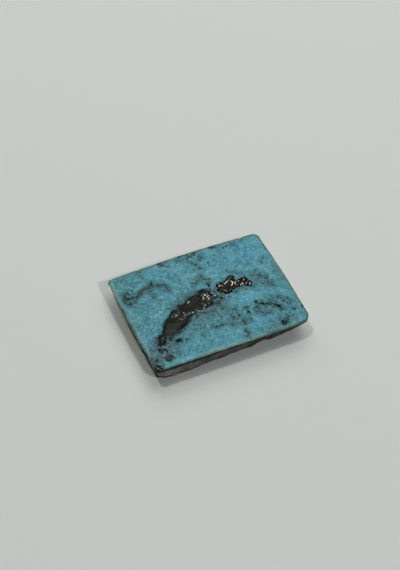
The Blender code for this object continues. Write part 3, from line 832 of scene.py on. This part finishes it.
def finishSlab(mesh):
    # works out every pattern on the slab, lets its soft parts sink, and keeps the patterns as attributes
    points = np.empty(len(mesh.vertices) * 3, np.float32)
    mesh.vertices.foreach_get("co", points)
    points = points.reshape(-1, 3).astype(float)
    level, placeU, placeV = (layerOf(mesh, name) for name in ("level", "placeU", "placeV"))
    fields = faceFields(points, placeU, placeV)
    sinkFace(points, fields, np.flatnonzero(level < 0.01))
    points[:, :2] -= middle
    fields.update(wallFields(points, level, placeU, placeV, fields["edge"]))
    mesh.vertices.foreach_set("co", (points * mm).ravel().astype(np.float32))
    for name in ("placeU", "placeV", "level"):
        mesh.attributes.remove(mesh.attributes[name])
    for name, values in fields.items():
        keepLayer(mesh, name, values)
    mesh.update()


def wire(tree, socket, value):
    if isinstance(value, bpy.types.NodeSocket):
        tree.links.new(value, socket)
    else:
        socket.default_value = value


def node(tree, kind, inputs, output=0, **settings):
    made = tree.nodes.new("ShaderNode" + kind)
    for name, value in settings.items():
        setattr(made, name, value)
    for key, value in inputs.items():
        wire(tree, made.inputs[key], value)
    return made.outputs[output]


def calc(tree, operation, first, second):
    return node(tree, "Math", {0: first, 1: second}, operation=operation)


def times(tree, first, second):
    return calc(tree, "MULTIPLY", first, second)


def plus(tree, first, second):
    return calc(tree, "ADD", first, second)


def spread(tree, value, low, high, start=0.0, end=1.0):
    inputs = {"Value": value, "From Min": low, "From Max": high, "To Min": start, "To Max": end}
    return node(tree, "MapRange", inputs, interpolation_type="SMOOTHSTEP")


def blend(tree, share, first, second):
    # a Mix node's sockets 6 and 7 are its two colours
    return node(tree, "Mix", {0: share, 6: first, 7: second}, output=2, data_type="RGBA")


def layer(tree, name):
    return node(tree, "Attribute", {}, output="Fac", attribute_type="GEOMETRY", attribute_name=name)


def placeInMm(tree):
    # made once in each material, and found by its name after that
    if "placeInMm" in tree.nodes:
        return tree.nodes["placeInMm"].outputs[0]
    objectPlace = node(tree, "TexCoord", {}, output="Object")
    return node(tree, "VectorMath", {0: objectPlace, "Scale": 1.0 / mm}, name="placeInMm", operation="SCALE")


def grains(tree, size, detail=2.0, rough=0.5, warp=0.0, where=None):
    inputs = {"Vector": placeInMm(tree) if where is None else where, "Scale": 1.0 / size,
              "Detail": detail, "Roughness": rough, "Distortion": warp}
    return node(tree, "TexNoise", inputs, noise_dimensions="3D")


def grit(tree, size, reach, detail=2.0, where=None):
    # noise about zero
    return times(tree, calc(tree, "SUBTRACT", grains(tree, size, detail, 0.6, 0.0, where), 0.5), reach)


def colour(red, green, blue):
    # an sRGB colour, 0 to 255, as the linear values that shaders take
    parts = [value / 255.0 for value in (red, green, blue)]
    return tuple(p / 12.92 if p <= 0.04045 else ((p + 0.055) / 1.055) ** 2.4 for p in parts) + (1.0,)


stone = {
    "turquoise": colour(86, 156, 173),
    "turquoiseDark": colour(62, 130, 144),
    "turquoiseDeep": colour(34, 88, 100),
    "turquoisePale": colour(138, 194, 198),
    "spark": colour(164, 212, 214),
    "blue": colour(70, 150, 190),
    "green": colour(78, 134, 132),
    "greenDark": colour(52, 112, 116),
    # the rim is grey, with a darker tone that is painted shade and a pale line that is painted highlight
    "rim": colour(118, 138, 128),
    "paintedRimShade": colour(60, 90, 88),
    "paintedRimHighlight": colour(150, 192, 188),
    # painted shade: the band under the arris
    "paintedEdgeShade": colour(78, 100, 98),
    "shade": colour(48, 80, 74),
    "shadeGrey": colour(78, 90, 88),
    "shadePurple": colour(92, 90, 98),
    "moss": colour(36, 56, 50),
    "olive": colour(28, 44, 41),
    "brown": colour(48, 56, 55),
    "black": colour(6, 14, 18),
    "hazeDark": colour(18, 34, 42),
    "hazeMiddle": colour(50, 74, 82),
    "hazePale": colour(94, 120, 126),
    "hazeFleck": colour(150, 176, 178),
    "veinRim": colour(6, 12, 12),
    "veinMiddle": colour(22, 29, 25),
    "veinPale": colour(51, 57, 53),
    "veinRust": colour(42, 37, 37),
    "veinSpeck": colour(92, 100, 90),
    "patch": colour(4, 5, 3),
    "patchMiddle": colour(33, 33, 27),
    "pale": colour(166, 182, 176),
    "wallStone": colour(134, 132, 127),
    "wallDark": colour(88, 86, 82),
    "wallRust": colour(96, 82, 74),
    # dark cracks, and painted shade at the wall's foot
    "wallCrackAndShade": colour(34, 30, 27),
    # painted shade: the darkest part of the band under the arris
    "paintedEdgeShadeTeal": colour(16, 30, 32),
    # plain noise: size in mm, detail, roughness, warp, the levels that it fades in between (for its low
    # places the higher one first), strength
    "noise": {
        "cloud": (2.4, 3.0, 0.60, 0.0, 0.36, 0.64, 1.0),
        "greenCloud": (0.9, 2.0, 0.60, 0.0, 0.42, 0.66, 0.42),
        "paleCloud": (0.50, 4.0, 0.70, 0.0, 0.42, 0.66, 0.38),
        "fleck": (0.26, 2.0, 0.55, 0.6, 0.53, 0.70, 0.54),
        "spark": (0.30, 1.0, 0.50, 0.4, 0.66, 0.75, 0.60),
        "dot": (0.27, 2.0, 0.60, 0.5, 0.46, 0.32, 0.54),
        # mixes the rim's painted shade with its grey
        "rimTone": (3.0, 1.0, 0.50, 0.0, 0.45, 0.58, 1.0),
        "dotted": (0.36, 3.0, 0.60, 0.0, 0.38, 0.62, 0.62),
        "shadeGrey": (0.55, 2.0, 0.60, 0.0, 0.42, 0.58, 1.0),
        "shadePurple": (0.8, 2.0, 0.60, 0.0, 0.52, 0.64, 0.15),
        "speckles": (0.38, 3.0, 0.60, 0.7, 0.46, 0.35, 0.82),
        "hazePale": (0.42, 3.0, 0.60, 0.0, 0.40, 0.60, 1.0),
        "hazeWisps": (0.45, 4.0, 0.60, 0.6, 0.48, 0.38, 0.80),
        "hazeFleck": (0.24, 2.0, 0.50, 0.5, 0.54, 0.68, 0.625),
        "veinRust": (0.9, 3.0, 0.60, 0.0, 0.50, 0.66, 0.7),
        "wallStone": (0.55, 4.0, 0.65, 0.0, 0.36, 0.60, 1.0),
        "wallRust": (1.1, 3.0, 0.60, 0.0, 0.54, 0.66, 0.7),
        "wallTurquoise": (2.1, 3.0, 0.55, 0.0, 0.60, 0.70, 0.7),
        "thinDot": (0.27, 2.0, 0.60, 0.5, 0.46, 0.32, 0.8),
    },
    # borders moved by noise: its size in mm, reach and detail, then levels and strength as above
    "borders": {
        # painted highlight just inside the edge, then the rim with its painted shade
        "paintedHighlightLine": (0.4, 0.3, 2.0, 0.50, 0.25, 0.36),
        "rim": (0.5, 0.6, 2.0, 0.22, 0.02, 0.75),
        "shade": (1.0, 0.5, 2.0, 0.08, 1.10, 0.72),
        "speckled": (1.0, 0.5, 2.0, 0.20, 0.90, 1.0),
        "nearVein": (0.5, 0.9, 2.0, -0.45, 0.05, 0.80),
        "nearBlack": (0.34, 0.8, 2.0, 0.05, 0.85, 0.62),
        "veinPale": (0.45, 0.9, 3.0, 0.2, 1.0, 1.0),
        "veinInside": (0.8, 1.4, 2.0, 0.02, 0.26, 1.0),
        "patchMiddle": (0.4, 1.6, 3.0, 0.12, 0.60, 1.0),
        # painted shade at the wall's foot and just in under the back
        "foot": (0.5, 0.5, 2.0, 0.76, 0.98, 0.7),
        # painted shade: where the band under the arris ends
        "paintedEdgeShade": (0.6, 0.3, 2.0, 0.08, -0.06, 1.0),
        "thin": (1.6, 1.6, 4.0, 0.05, 0.45, 1.0),
        "wall": (0.4, 0.9, 2.0, 0.35, 0.85, 1.0),
    },
    # drawn marks broken up into the spots and wisps that they stand for: size in mm, how strong the
    # coarse and the fine noise in them is, then levels and strength
    "marks": {
        "light": (0.24, 0.4, 1.2, 0.20, 0.90, 0.75),
        "moss": (0.35, 0.6, 1.3, 0.15, 0.85, 0.85),
        "olive": (0.30, 0.6, 2.4, 0.34, 1.10, 0.85),
        "haze": (0.35, 0.7, 1.4, 0.12, 0.70, 0.80),
        "brown": (0.28, 0.6, 2.2, 0.36, 0.95, 0.85),
        "black": (0.26, 0.5, 2.0, 0.40, 0.95, 0.95),
        "veinGrainy": (0.26, 0.5, 2.6, 0.85, 1.25, 0.8),
        "pale": (0.14, 0.3, 0.9, 0.30, 0.70, 0.92),
    },
    "coarser": 2.5,  # how many times larger the coarse noise is
    "blueShare": 0.55, "greenShare": 0.38,
    "greenEdge": {"size": 1.2, "fade": (1.2, 0.5), "share": 0.45},  # mm
    # painted light on the rim: paler, as highlight, beside the pale line
    "rimTones": (0.0, 0.6, 0.55, 1.0),  # the grey rim is paler where a pale line runs beside it
    "leastDotted": 0.38,
    "mossFade": (0.1, 0.7), "mossIntoPatch": 0.30,
    "veinRagged": ((0.60, 1.2, 3.0), (0.28, 0.9, 2.0)),  # size in mm, reach, detail
    "veinFade": (-0.20, 0.14), "patchFade": (-0.10, 0.03), "patchRagged": 0.6,
    "wallStretch": (0.8, 0.8, 2.6),
    "turquoiseLow": (1.0, 1.5),  # mm below the lapped face
    "crack": {"noise": (0.9, 1.0, 4.0), "fade": (-0.06, -0.15), "share": 0.8},
    "darkOnLight": (1.2, 2.0, 1.0, 0.3),  # cracks and foot are fainter where the wall's tone is light
    # painted shade under the arris: how dark it gets, and how deep it reaches
    "paintedEdgeShadeFade": (0.15, 0.60), "paintedEdgeShadeDepth": (0.6, 1.0, 0.16, 0.33),
    "thinGrey": 0.35, "thinLoss": 0.8,
    "faceRough": {"size": 0.2, "fade": (0.3, 0.7), "between": (0.42, 0.60)},
    "wallRough": 0.82,
    "specular": 0.15,
    "bump": {"size": 0.09, "fineSize": 0.03, "fineShare": 0.4, "strength": 0.5, "height": 0.02},  # mm
}


def noisePattern(tree, name, where=None):
    size, detail, rough, warp, low, high, strength = stone["noise"][name]
    return times(tree, spread(tree, grains(tree, size, detail, rough, warp, where), low, high), strength)


def roughBorder(tree, name, field):
    size, reach, detail, low, high, strength = stone["borders"][name]
    return times(tree, spread(tree, plus(tree, field, grit(tree, size, reach, detail)), low, high), strength)


def brokenMarks(tree, name):
    size, coarse, fine, low, high, strength = stone["marks"][name]
    noises = plus(tree, grit(tree, size * stone["coarser"], coarse), grit(tree, size, fine))
    return times(tree, spread(tree, plus(tree, layer(tree, name), noises), low, high), strength)


def coats(tree, base, *layers):
    # lays colours over the base one after another, each where and as strongly as its share says
    for tint, share in layers:
        base = blend(tree, share, base, stone[tint])
    return base


def paleShare(tree):
    return calc(tree, "MAXIMUM", noisePattern(tree, "paleCloud"), brokenMarks(tree, "light"))


def turquoiseColour(tree):
    # broad changes of tone and hue, then a fine pale and dark grain
    return coats(
        tree, stone["turquoiseDark"],
        ("turquoise", noisePattern(tree, "cloud")),
        ("greenDark", noisePattern(tree, "greenCloud")),
        ("blue", times(tree, layer(tree, "blue"), stone["blueShare"])),
        ("greenDark", times(tree, layer(tree, "green"), stone["greenShare"])),
        ("turquoisePale", paleShare(tree)),
        ("turquoisePale", noisePattern(tree, "fleck")),
        ("spark", noisePattern(tree, "spark")),
        ("turquoiseDeep", noisePattern(tree, "dot")),
    )


def withRim(tree, base):
    # greener towards the edge, then a pale line of painted highlight in places, and the grey rim, painted
    # paler as highlight beside that line and darker as shade elsewhere
    edge, paintedHighlightLine, greenEdge = layer(tree, "edge"), layer(tree, "paintedHighlightLine"), stone["greenEdge"]
    greener = spread(tree, plus(tree, edge, grains(tree, greenEdge["size"])), *greenEdge["fade"])
    base = coats(tree, base, ("green", times(tree, greener, greenEdge["share"])),
                 ("paintedRimHighlight", times(tree, roughBorder(tree, "paintedHighlightLine", edge), paintedHighlightLine)))
    rimShare = times(tree, noisePattern(tree, "rimTone"), spread(tree, paintedHighlightLine, *stone["rimTones"]))
    rimTone = coats(tree, stone["paintedRimShade"], ("rim", rimShare))
    return blend(tree, roughBorder(tree, "rim", edge), base, rimTone)


def withMottles(tree, base):
    # a soft, dotted greenish-grey ground with dark spots and wisps in it
    shade = layer(tree, "shade")
    dotted = plus(tree, noisePattern(tree, "dotted"), stone["leastDotted"])
    shadeTone = coats(tree, stone["shade"], ("shadeGrey", noisePattern(tree, "shadeGrey")),
                      ("shadePurple", noisePattern(tree, "shadePurple")))
    base = blend(tree, times(tree, roughBorder(tree, "shade", shade), dotted), base, shadeTone)
    insidePatch = calc(tree, "SUBTRACT", layer(tree, "patch"), stone["mossIntoPatch"])
    nearVein = roughBorder(tree, "nearVein", calc(tree, "MAXIMUM", layer(tree, "vein"), insidePatch))
    moss = calc(tree, "MAXIMUM", times(tree, dotted, brokenMarks(tree, "moss")), nearVein)
    speckled = calc(tree, "MAXIMUM", roughBorder(tree, "speckled", shade),
                    spread(tree, layer(tree, "moss"), *stone["mossFade"]))
    speckles = times(tree, noisePattern(tree, "speckles"), speckled)
    return coats(tree, base, ("moss", moss), ("olive", speckles), ("olive", brokenMarks(tree, "olive")))


def withHaze(tree, base):
    # blue-grey haze with dark wisps near the vein, then the brown and black spots
    haze = brokenMarks(tree, "haze")
    hazeTone = coats(tree, stone["hazeMiddle"], ("hazePale", noisePattern(tree, "hazePale")),
                     ("hazeDark", noisePattern(tree, "hazeWisps")))
    return coats(
        tree, blend(tree, haze, base, hazeTone),
        ("hazeFleck", times(tree, haze, noisePattern(tree, "hazeFleck"))),
        ("brown", brokenMarks(tree, "brown")),
        ("hazeDark", roughBorder(tree, "nearBlack", layer(tree, "black"))),
        ("black", brokenMarks(tree, "black")),
    )


def withVein(tree, base):
    # the vein, black along its rim and partly full of pale specks, then the pyrite patch
    ragged = plus(tree, *(grit(tree, *shape) for shape in stone["veinRagged"]))
    veinDepth = plus(tree, layer(tree, "vein"), ragged)
    inside = coats(tree, stone["veinMiddle"],
                   ("veinPale", roughBorder(tree, "veinPale", layer(tree, "veinPale"))),
                   ("veinRust", noisePattern(tree, "veinRust")),
                   ("veinSpeck", brokenMarks(tree, "veinGrainy")))
    veinTone = blend(tree, roughBorder(tree, "veinInside", veinDepth), stone["veinRim"], inside)
    base = blend(tree, spread(tree, veinDepth, *stone["veinFade"]), base, veinTone)
    patchDepth = plus(tree, layer(tree, "patch"), times(tree, ragged, stone["patchRagged"]))
    patchTone = coats(tree, stone["patch"], ("patchMiddle", roughBorder(tree, "patchMiddle", patchDepth)))
    base = blend(tree, spread(tree, patchDepth, *stone["patchFade"]), base, patchTone)
    return coats(tree, base, ("pale", brokenMarks(tree, "pale")))


def rockColour(tree, streak):
    # grey-brown host rock with rust and spots of turquoise low down, its tone lifted by painted light on the
    # left wall, then cracks and painted shade at the foot
    rock = coats(tree, stone["wallDark"], ("wallStone", noisePattern(tree, "wallStone", streak)),
                 ("wallRust", noisePattern(tree, "wallRust")))
    tone, crack = layer(tree, "wallToneAndPaintedLight"), stone["crack"]
    # painted light: the tone lifts the left wall, which the lamps hardly reach
    toned = node(tree, "VectorMath", {0: rock, "Scale": tone}, operation="SCALE")
    low = spread(tree, layer(tree, "wallDepth"), *stone["turquoiseLow"])
    cracks = spread(tree, grit(tree, *crack["noise"], streak), *crack["fade"])
    # the real cracks together with painted shade at the foot
    dark = calc(tree, "MAXIMUM", times(tree, cracks, crack["share"]),
                roughBorder(tree, "foot", layer(tree, "foot")))
    return coats(tree, toned, ("turquoiseDark", times(tree, noisePattern(tree, "wallTurquoise"), low)),
                 ("wallCrackAndShade", times(tree, dark, spread(tree, tone, *stone["darkOnLight"]))))


def thinColour(tree, streak):
    # turquoise that shows all through where the slab is thin
    grey = times(tree, noisePattern(tree, "wallStone", streak), stone["thinGrey"])
    return coats(tree, stone["turquoise"], ("green", paleShare(tree)),
                 ("turquoiseDeep", noisePattern(tree, "thinDot")), ("wallStone", grey))


def wallColour(tree):
    # the rock with a band of painted shade, dark teal, under the arris, and turquoise in its place at the
    # thin corners
    streak = node(tree, "Mapping", {"Vector": placeInMm(tree), "Scale": stone["wallStretch"]})
    paintedEdgeShade, depth = layer(tree, "paintedEdgeShade"), layer(tree, "wallDepth")
    paintedEdgeShadeTone = coats(tree, stone["paintedEdgeShade"], ("paintedEdgeShadeTeal", spread(tree, paintedEdgeShade, *stone["paintedEdgeShadeFade"])))
    belowPaintedEdgeShade = calc(tree, "SUBTRACT", depth, spread(tree, paintedEdgeShade, *stone["paintedEdgeShadeDepth"]))
    wall = blend(tree, roughBorder(tree, "paintedEdgeShade", belowPaintedEdgeShade), rockColour(tree, streak), paintedEdgeShadeTone)
    thin = calc(tree, "SUBTRACT", layer(tree, "thin"), times(tree, depth, stone["thinLoss"]))
    return blend(tree, roughBorder(tree, "thin", thin), wall, thinColour(tree, streak))


def stoneRoughness(tree, onWall):
    # a Mix node's sockets 2 and 3 are its two plain values
    shape = stone["faceRough"]
    face = spread(tree, grains(tree, shape["size"]), *shape["fade"], *shape["between"])
    return node(tree, "Mix", {0: onWall, 2: face, 3: stone["wallRough"]}, data_type="FLOAT")


def stoneBump(tree):
    shape = stone["bump"]
    fine = times(tree, grains(tree, shape["fineSize"]), shape["fineShare"])
    height = plus(tree, grains(tree, shape["size"], 3.0, 0.6), fine)
    inputs = {"Strength": shape["strength"], "Distance": shape["height"] * mm, "Height": height}
    return node(tree, "Bump", inputs)


def stoneMaterial():
    material = bpy.data.materials.new("turquoiseStone")
    material.use_nodes = True
    tree = material.node_tree
    shader = tree.nodes["Principled BSDF"]
    base = turquoiseColour(tree)
    for withMore in (withRim, withMottles, withHaze, withVein):
        base = withMore(tree, base)
    onWall = roughBorder(tree, "wall", layer(tree, "side"))
    wire(tree, shader.inputs["Base Color"], blend(tree, onWall, base, wallColour(tree)))
    wire(tree, shader.inputs["Roughness"], stoneRoughness(tree, onWall))
    shader.inputs["Specular IOR Level"].default_value = stone["specular"]
    wire(tree, shader.inputs["Normal"], stoneBump(tree))
    return material


def addStone():
    mesh = slabMesh()
    finishSlab(mesh)
    stoneObject = bpy.data.objects.new("stone", mesh)
    mesh.materials.append(stoneMaterial())
    bpy.context.scene.collection.objects.link(stoneObject)
    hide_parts("turquoise_slab")
    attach(stoneObject, "root")
    print("stone:", len(mesh.polygons) * 2, "triangles")


addStone()

pyrite = {
    # grains that stand out: width in mm, how brightly each one glints as painted highlight in its colour,
    # places along the grain
    "large": (
        # at the wide end of the vein
        (0.20, 1.0, (0.0, 0.65)), (0.13, 0.7, (-0.35, 0.15), (-0.32, 0.35), (-0.33, 0.5)),
        (0.12, 0.4, (-0.45, 0.75)), (0.13, 0.9, (0.08, 0.25), (0.2, 0.35), (0.36, 0.46)),
        (0.12, 0.9, (0.2, -0.12), (0.24, 0.05)), (0.10, 0.5, (0.3, 0.72), (0.4, 0.88)),
        (0.09, 0.5, (0.0, 0.1), (-0.1, -0.05)), (0.10, 0.6, (0.55, 0.15)),
        (0.12, 0.6, (-0.68, -0.85), (-0.6, -0.65)), (0.11, 0.45, (-0.1, -0.65)),
        (0.10, 0.4, (-1.15, -0.2)), (0.10, 0.4, (0.75, 0.7), (0.85, 0.5)), (0.13, 0.9, (1.08, 0.1)),
        (0.09, 0.5, (1.05, -0.3)), (0.08, 0.8, (1.88, -0.52), (1.9, -0.36)), (0.09, 0.4, (-0.55, 0.1)),
        (0.09, 0.4, (-0.1, 0.9)),
        # along the vein
        (0.12, 0.6, (-0.95, -1.18), (-0.82, -1.1)), (0.11, 0.45, (-1.75, -1.25), (-1.55, -1.4)),
        (0.09, 0.5, (-1.3, -1.4)), (0.09, 0.6, (-2.42, -1.38), (-2.37, -1.18)),
        (0.12, 0.8, (-2.38, 0.3), (-2.2, 0.46)), (0.09, 0.5, (-2.8, 0.6)), (0.09, 0.4, (-3.3, 0.45)),
        (0.08, 0.5, (-4.85, -0.85)), (0.08, 0.5, (-4.45, -1.0)), (0.10, 0.5, (-3.45, -0.85)),
        (0.08, 0.5, (-3.4, -1.25), (-3.25, -1.4), (-3.05, -1.48)), (0.08, 0.4, (-4.25, -1.6)),
        (0.08, 0.3, (-2.0, -1.1)),
        # patch, left part
        (0.13, 0.7, (2.2, 1.6)), (0.17, 0.9, (2.12, 1.25), (2.3, 1.32)),
        (0.14, 0.7, (2.45, 1.3), (2.52, 1.15)), (0.12, 0.7, (1.8, 1.1)), (0.12, 0.3, (2.25, 0.75)),
        (0.15, 0.9, (2.55, 0.4)), (0.09, 0.4, (2.1, 0.3), (2.25, 0.15)),
        (0.10, 0.4, (2.6, 0.1), (2.72, 0.2)), (0.12, 0.7, (3.1, 0.15)), (0.10, 0.3, (3.35, 0.35)),
        # patch, middle
        (0.15, 1.0, (2.92, 1.36), (3.08, 1.45), (3.22, 1.55)), (0.14, 0.9, (3.35, 1.5)),
        (0.12, 0.45, (3.45, 1.72), (3.6, 1.65)), (0.12, 0.5, (3.65, 1.85), (3.8, 1.95)),
        (0.14, 0.8, (3.88, 2.02)), (0.11, 0.5, (4.1, 1.88)),
        (0.18, 1.0, (3.82, 1.45), (3.88, 1.25), (3.85, 1.1)), (0.15, 0.9, (3.75, 0.98), (3.62, 0.82)),
        (0.13, 0.8, (4.1, 0.95), (4.24, 1.15)), (0.13, 0.8, (4.1, 0.7)), (0.10, 0.4, (3.95, 0.5)),
        # patch, right part
        (0.10, 0.35, (4.55, 1.05), (4.7, 1.15)), (0.10, 0.4, (4.38, 0.65)),
        (0.12, 0.8, (4.62, 0.42), (4.78, 0.55)), (0.17, 1.0, (4.95, 0.6), (4.98, 0.48)),
        (0.15, 0.9, (5.22, 1.02), (5.36, 1.08)), (0.12, 0.7, (5.33, 0.35), (5.45, 0.48)),
        (0.10, 0.4, (5.6, 0.66)), (0.13, 0.8, (5.7, 0.08), (5.76, 0.24), (5.86, 0.4)),
        (0.10, 0.4, (5.48, 0.05)),
    ),
    "smallCount": 60,
    "smallSize": (0.05, 0.09),
    # how brightly the small grains glint, painted into their colour
    "smallPaintedGlint": (0.1, 0.6),
    "smallWithin": ((-3.2, 6.2), (-1.2, 2.3)),  # mm, the box that holds the vein's wide end and the patch
    "smallInPatch": 0.10, "smallInVein": 0.15,  # mm in from the border
    "veinThinsOut": (-3.5, 0.6),  # small grains get rarer from the second place to the first
    "seed": 41,
    "sides": (5, 8),  # from the first, and fewer than the second
    "foot": 0.70, "top": 0.55,  # radii, as shares of the grain's width
    "stretch": (0.75, 1.0),
    "jitter": 0.12,
    "largeVary": (0.86, 1.06),
    "step": 0.8,  # between crystals along a grain, as a share of its width
    "standsOut": 0.012,  # mm
    "height": 0.11,  # mm, most of it bedded in the stone
    "tilt": 10.0,  # degrees
    # a glinting grain's pale brass is painted highlight; the very dark brown of the others is partly tarnish
    # and partly painted shade
    "color": (0.92, 0.94, 0.80, 1.0),
    "tarnishAndShade": (0.082, 0.080, 0.050, 1.0),
    "tarnishAndShadeNoise": (0.25, 2.0),  # size in mm, reach
    "glintFade": (0.25, 1.10),
    "metallic": 0.20,
    "roughness": 0.42,
}


def addGrain(bm, paintedGlint, random, x, y, size, paintedGlintLevel):
    made = bmesh.ops.create_cone(bm, cap_ends=True, segments=int(random.integers(*pyrite["sides"])),
                                 radius1=size * pyrite["foot"], radius2=size * pyrite["top"],
                                 depth=pyrite["height"])
    turn = random.uniform(0.0, math.tau)
    stretch = random.uniform(*pyrite["stretch"])
    lean = [math.radians(random.uniform(-pyrite["tilt"], pyrite["tilt"])) for _ in range(2)]
    for vert in made["verts"]:
        px, py = vert.co.x, vert.co.y * stretch
        px += random.uniform(-pyrite["jitter"], pyrite["jitter"]) * size
        py += random.uniform(-pyrite["jitter"], pyrite["jitter"]) * size
        across = px * math.cos(turn) - py * math.sin(turn)
        up = px * math.sin(turn) + py * math.cos(turn)
        z = slab["thickness"] + pyrite["standsOut"] - pyrite["height"] / 2.0 + vert.co.z
        z += across * math.tan(lean[0]) + up * math.tan(lean[1])
        vert.co = ((x + across - middle[0]) * mm, (y + up - middle[1]) * mm, z * mm)
        vert[paintedGlint] = paintedGlintLevel


def alongPath(places, step):
    # evenly spaced places along a grain
    found = [places[0]]
    for (x0, y0), (x1, y1) in zip(places, places[1:]):
        count = max(int(round(math.hypot(x1 - x0, y1 - y0) / step)), 1)
        for i in range(1, count + 1):
            share = i / count
            found.append((x0 + (x1 - x0) * share, y0 + (y1 - y0) * share))
    return found


def smallPlaces(random):
    found = []
    rangeX, rangeY = pyrite["smallWithin"]
    while len(found) < pyrite["smallCount"]:
        x, y = random.uniform(*rangeX), random.uniform(*rangeY)
        spot = (np.array([x]), np.array([y]))
        inPatch = depthInside(pyritePatch, *spot)[0] > pyrite["smallInPatch"]
        inVein = depthInside(darkVein, *spot)[0] > pyrite["smallInVein"]
        inVein = inVein and x > random.uniform(*pyrite["veinThinsOut"])
        if inPatch or inVein:
            found.append((x, y))
    return found


def pyriteMaterial():
    material = bpy.data.materials.new("pyrite")
    material.use_nodes = True
    tree = material.node_tree
    shader = tree.nodes["Principled BSDF"]
    # painted light: each grain's colour runs from dark to bright with how brightly it glints
    patchy = plus(tree, layer(tree, "paintedGlint"), grit(tree, *pyrite["tarnishAndShadeNoise"]))
    tone = blend(tree, spread(tree, patchy, *pyrite["glintFade"]), pyrite["tarnishAndShade"], pyrite["color"])
    wire(tree, shader.inputs["Base Color"], tone)
    shader.inputs["Metallic"].default_value = pyrite["metallic"]
    shader.inputs["Roughness"].default_value = pyrite["roughness"]
    return material


def addPyrite():
    random = np.random.default_rng(pyrite["seed"])
    bm = bmesh.new()
    paintedGlint = bm.verts.layers.float.new("paintedGlint")
    for width, paintedGlintLevel, *places in pyrite["large"]:
        for x, y in alongPath(places, width * pyrite["step"]):
            size = width * random.uniform(*pyrite["largeVary"])
            addGrain(bm, paintedGlint, random, x, y, size, paintedGlintLevel)
    for x, y in smallPlaces(random):
        size = random.uniform(*pyrite["smallSize"])
        addGrain(bm, paintedGlint, random, x, y, size, random.uniform(*pyrite["smallPaintedGlint"]))
    bmesh.ops.recalc_face_normals(bm, faces=bm.faces)
    mesh = bpy.data.meshes.new("pyrite_grains")
    bm.to_mesh(mesh)
    bm.free()
    mesh.materials.append(pyriteMaterial())
    grainsObject = bpy.data.objects.new("pyrite_grains", mesh)
    bpy.context.scene.collection.objects.link(grainsObject)
    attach(grainsObject, "root")
    print("pyrite:", len(pyrite["large"]) + pyrite["smallCount"], "grains")


addPyrite()
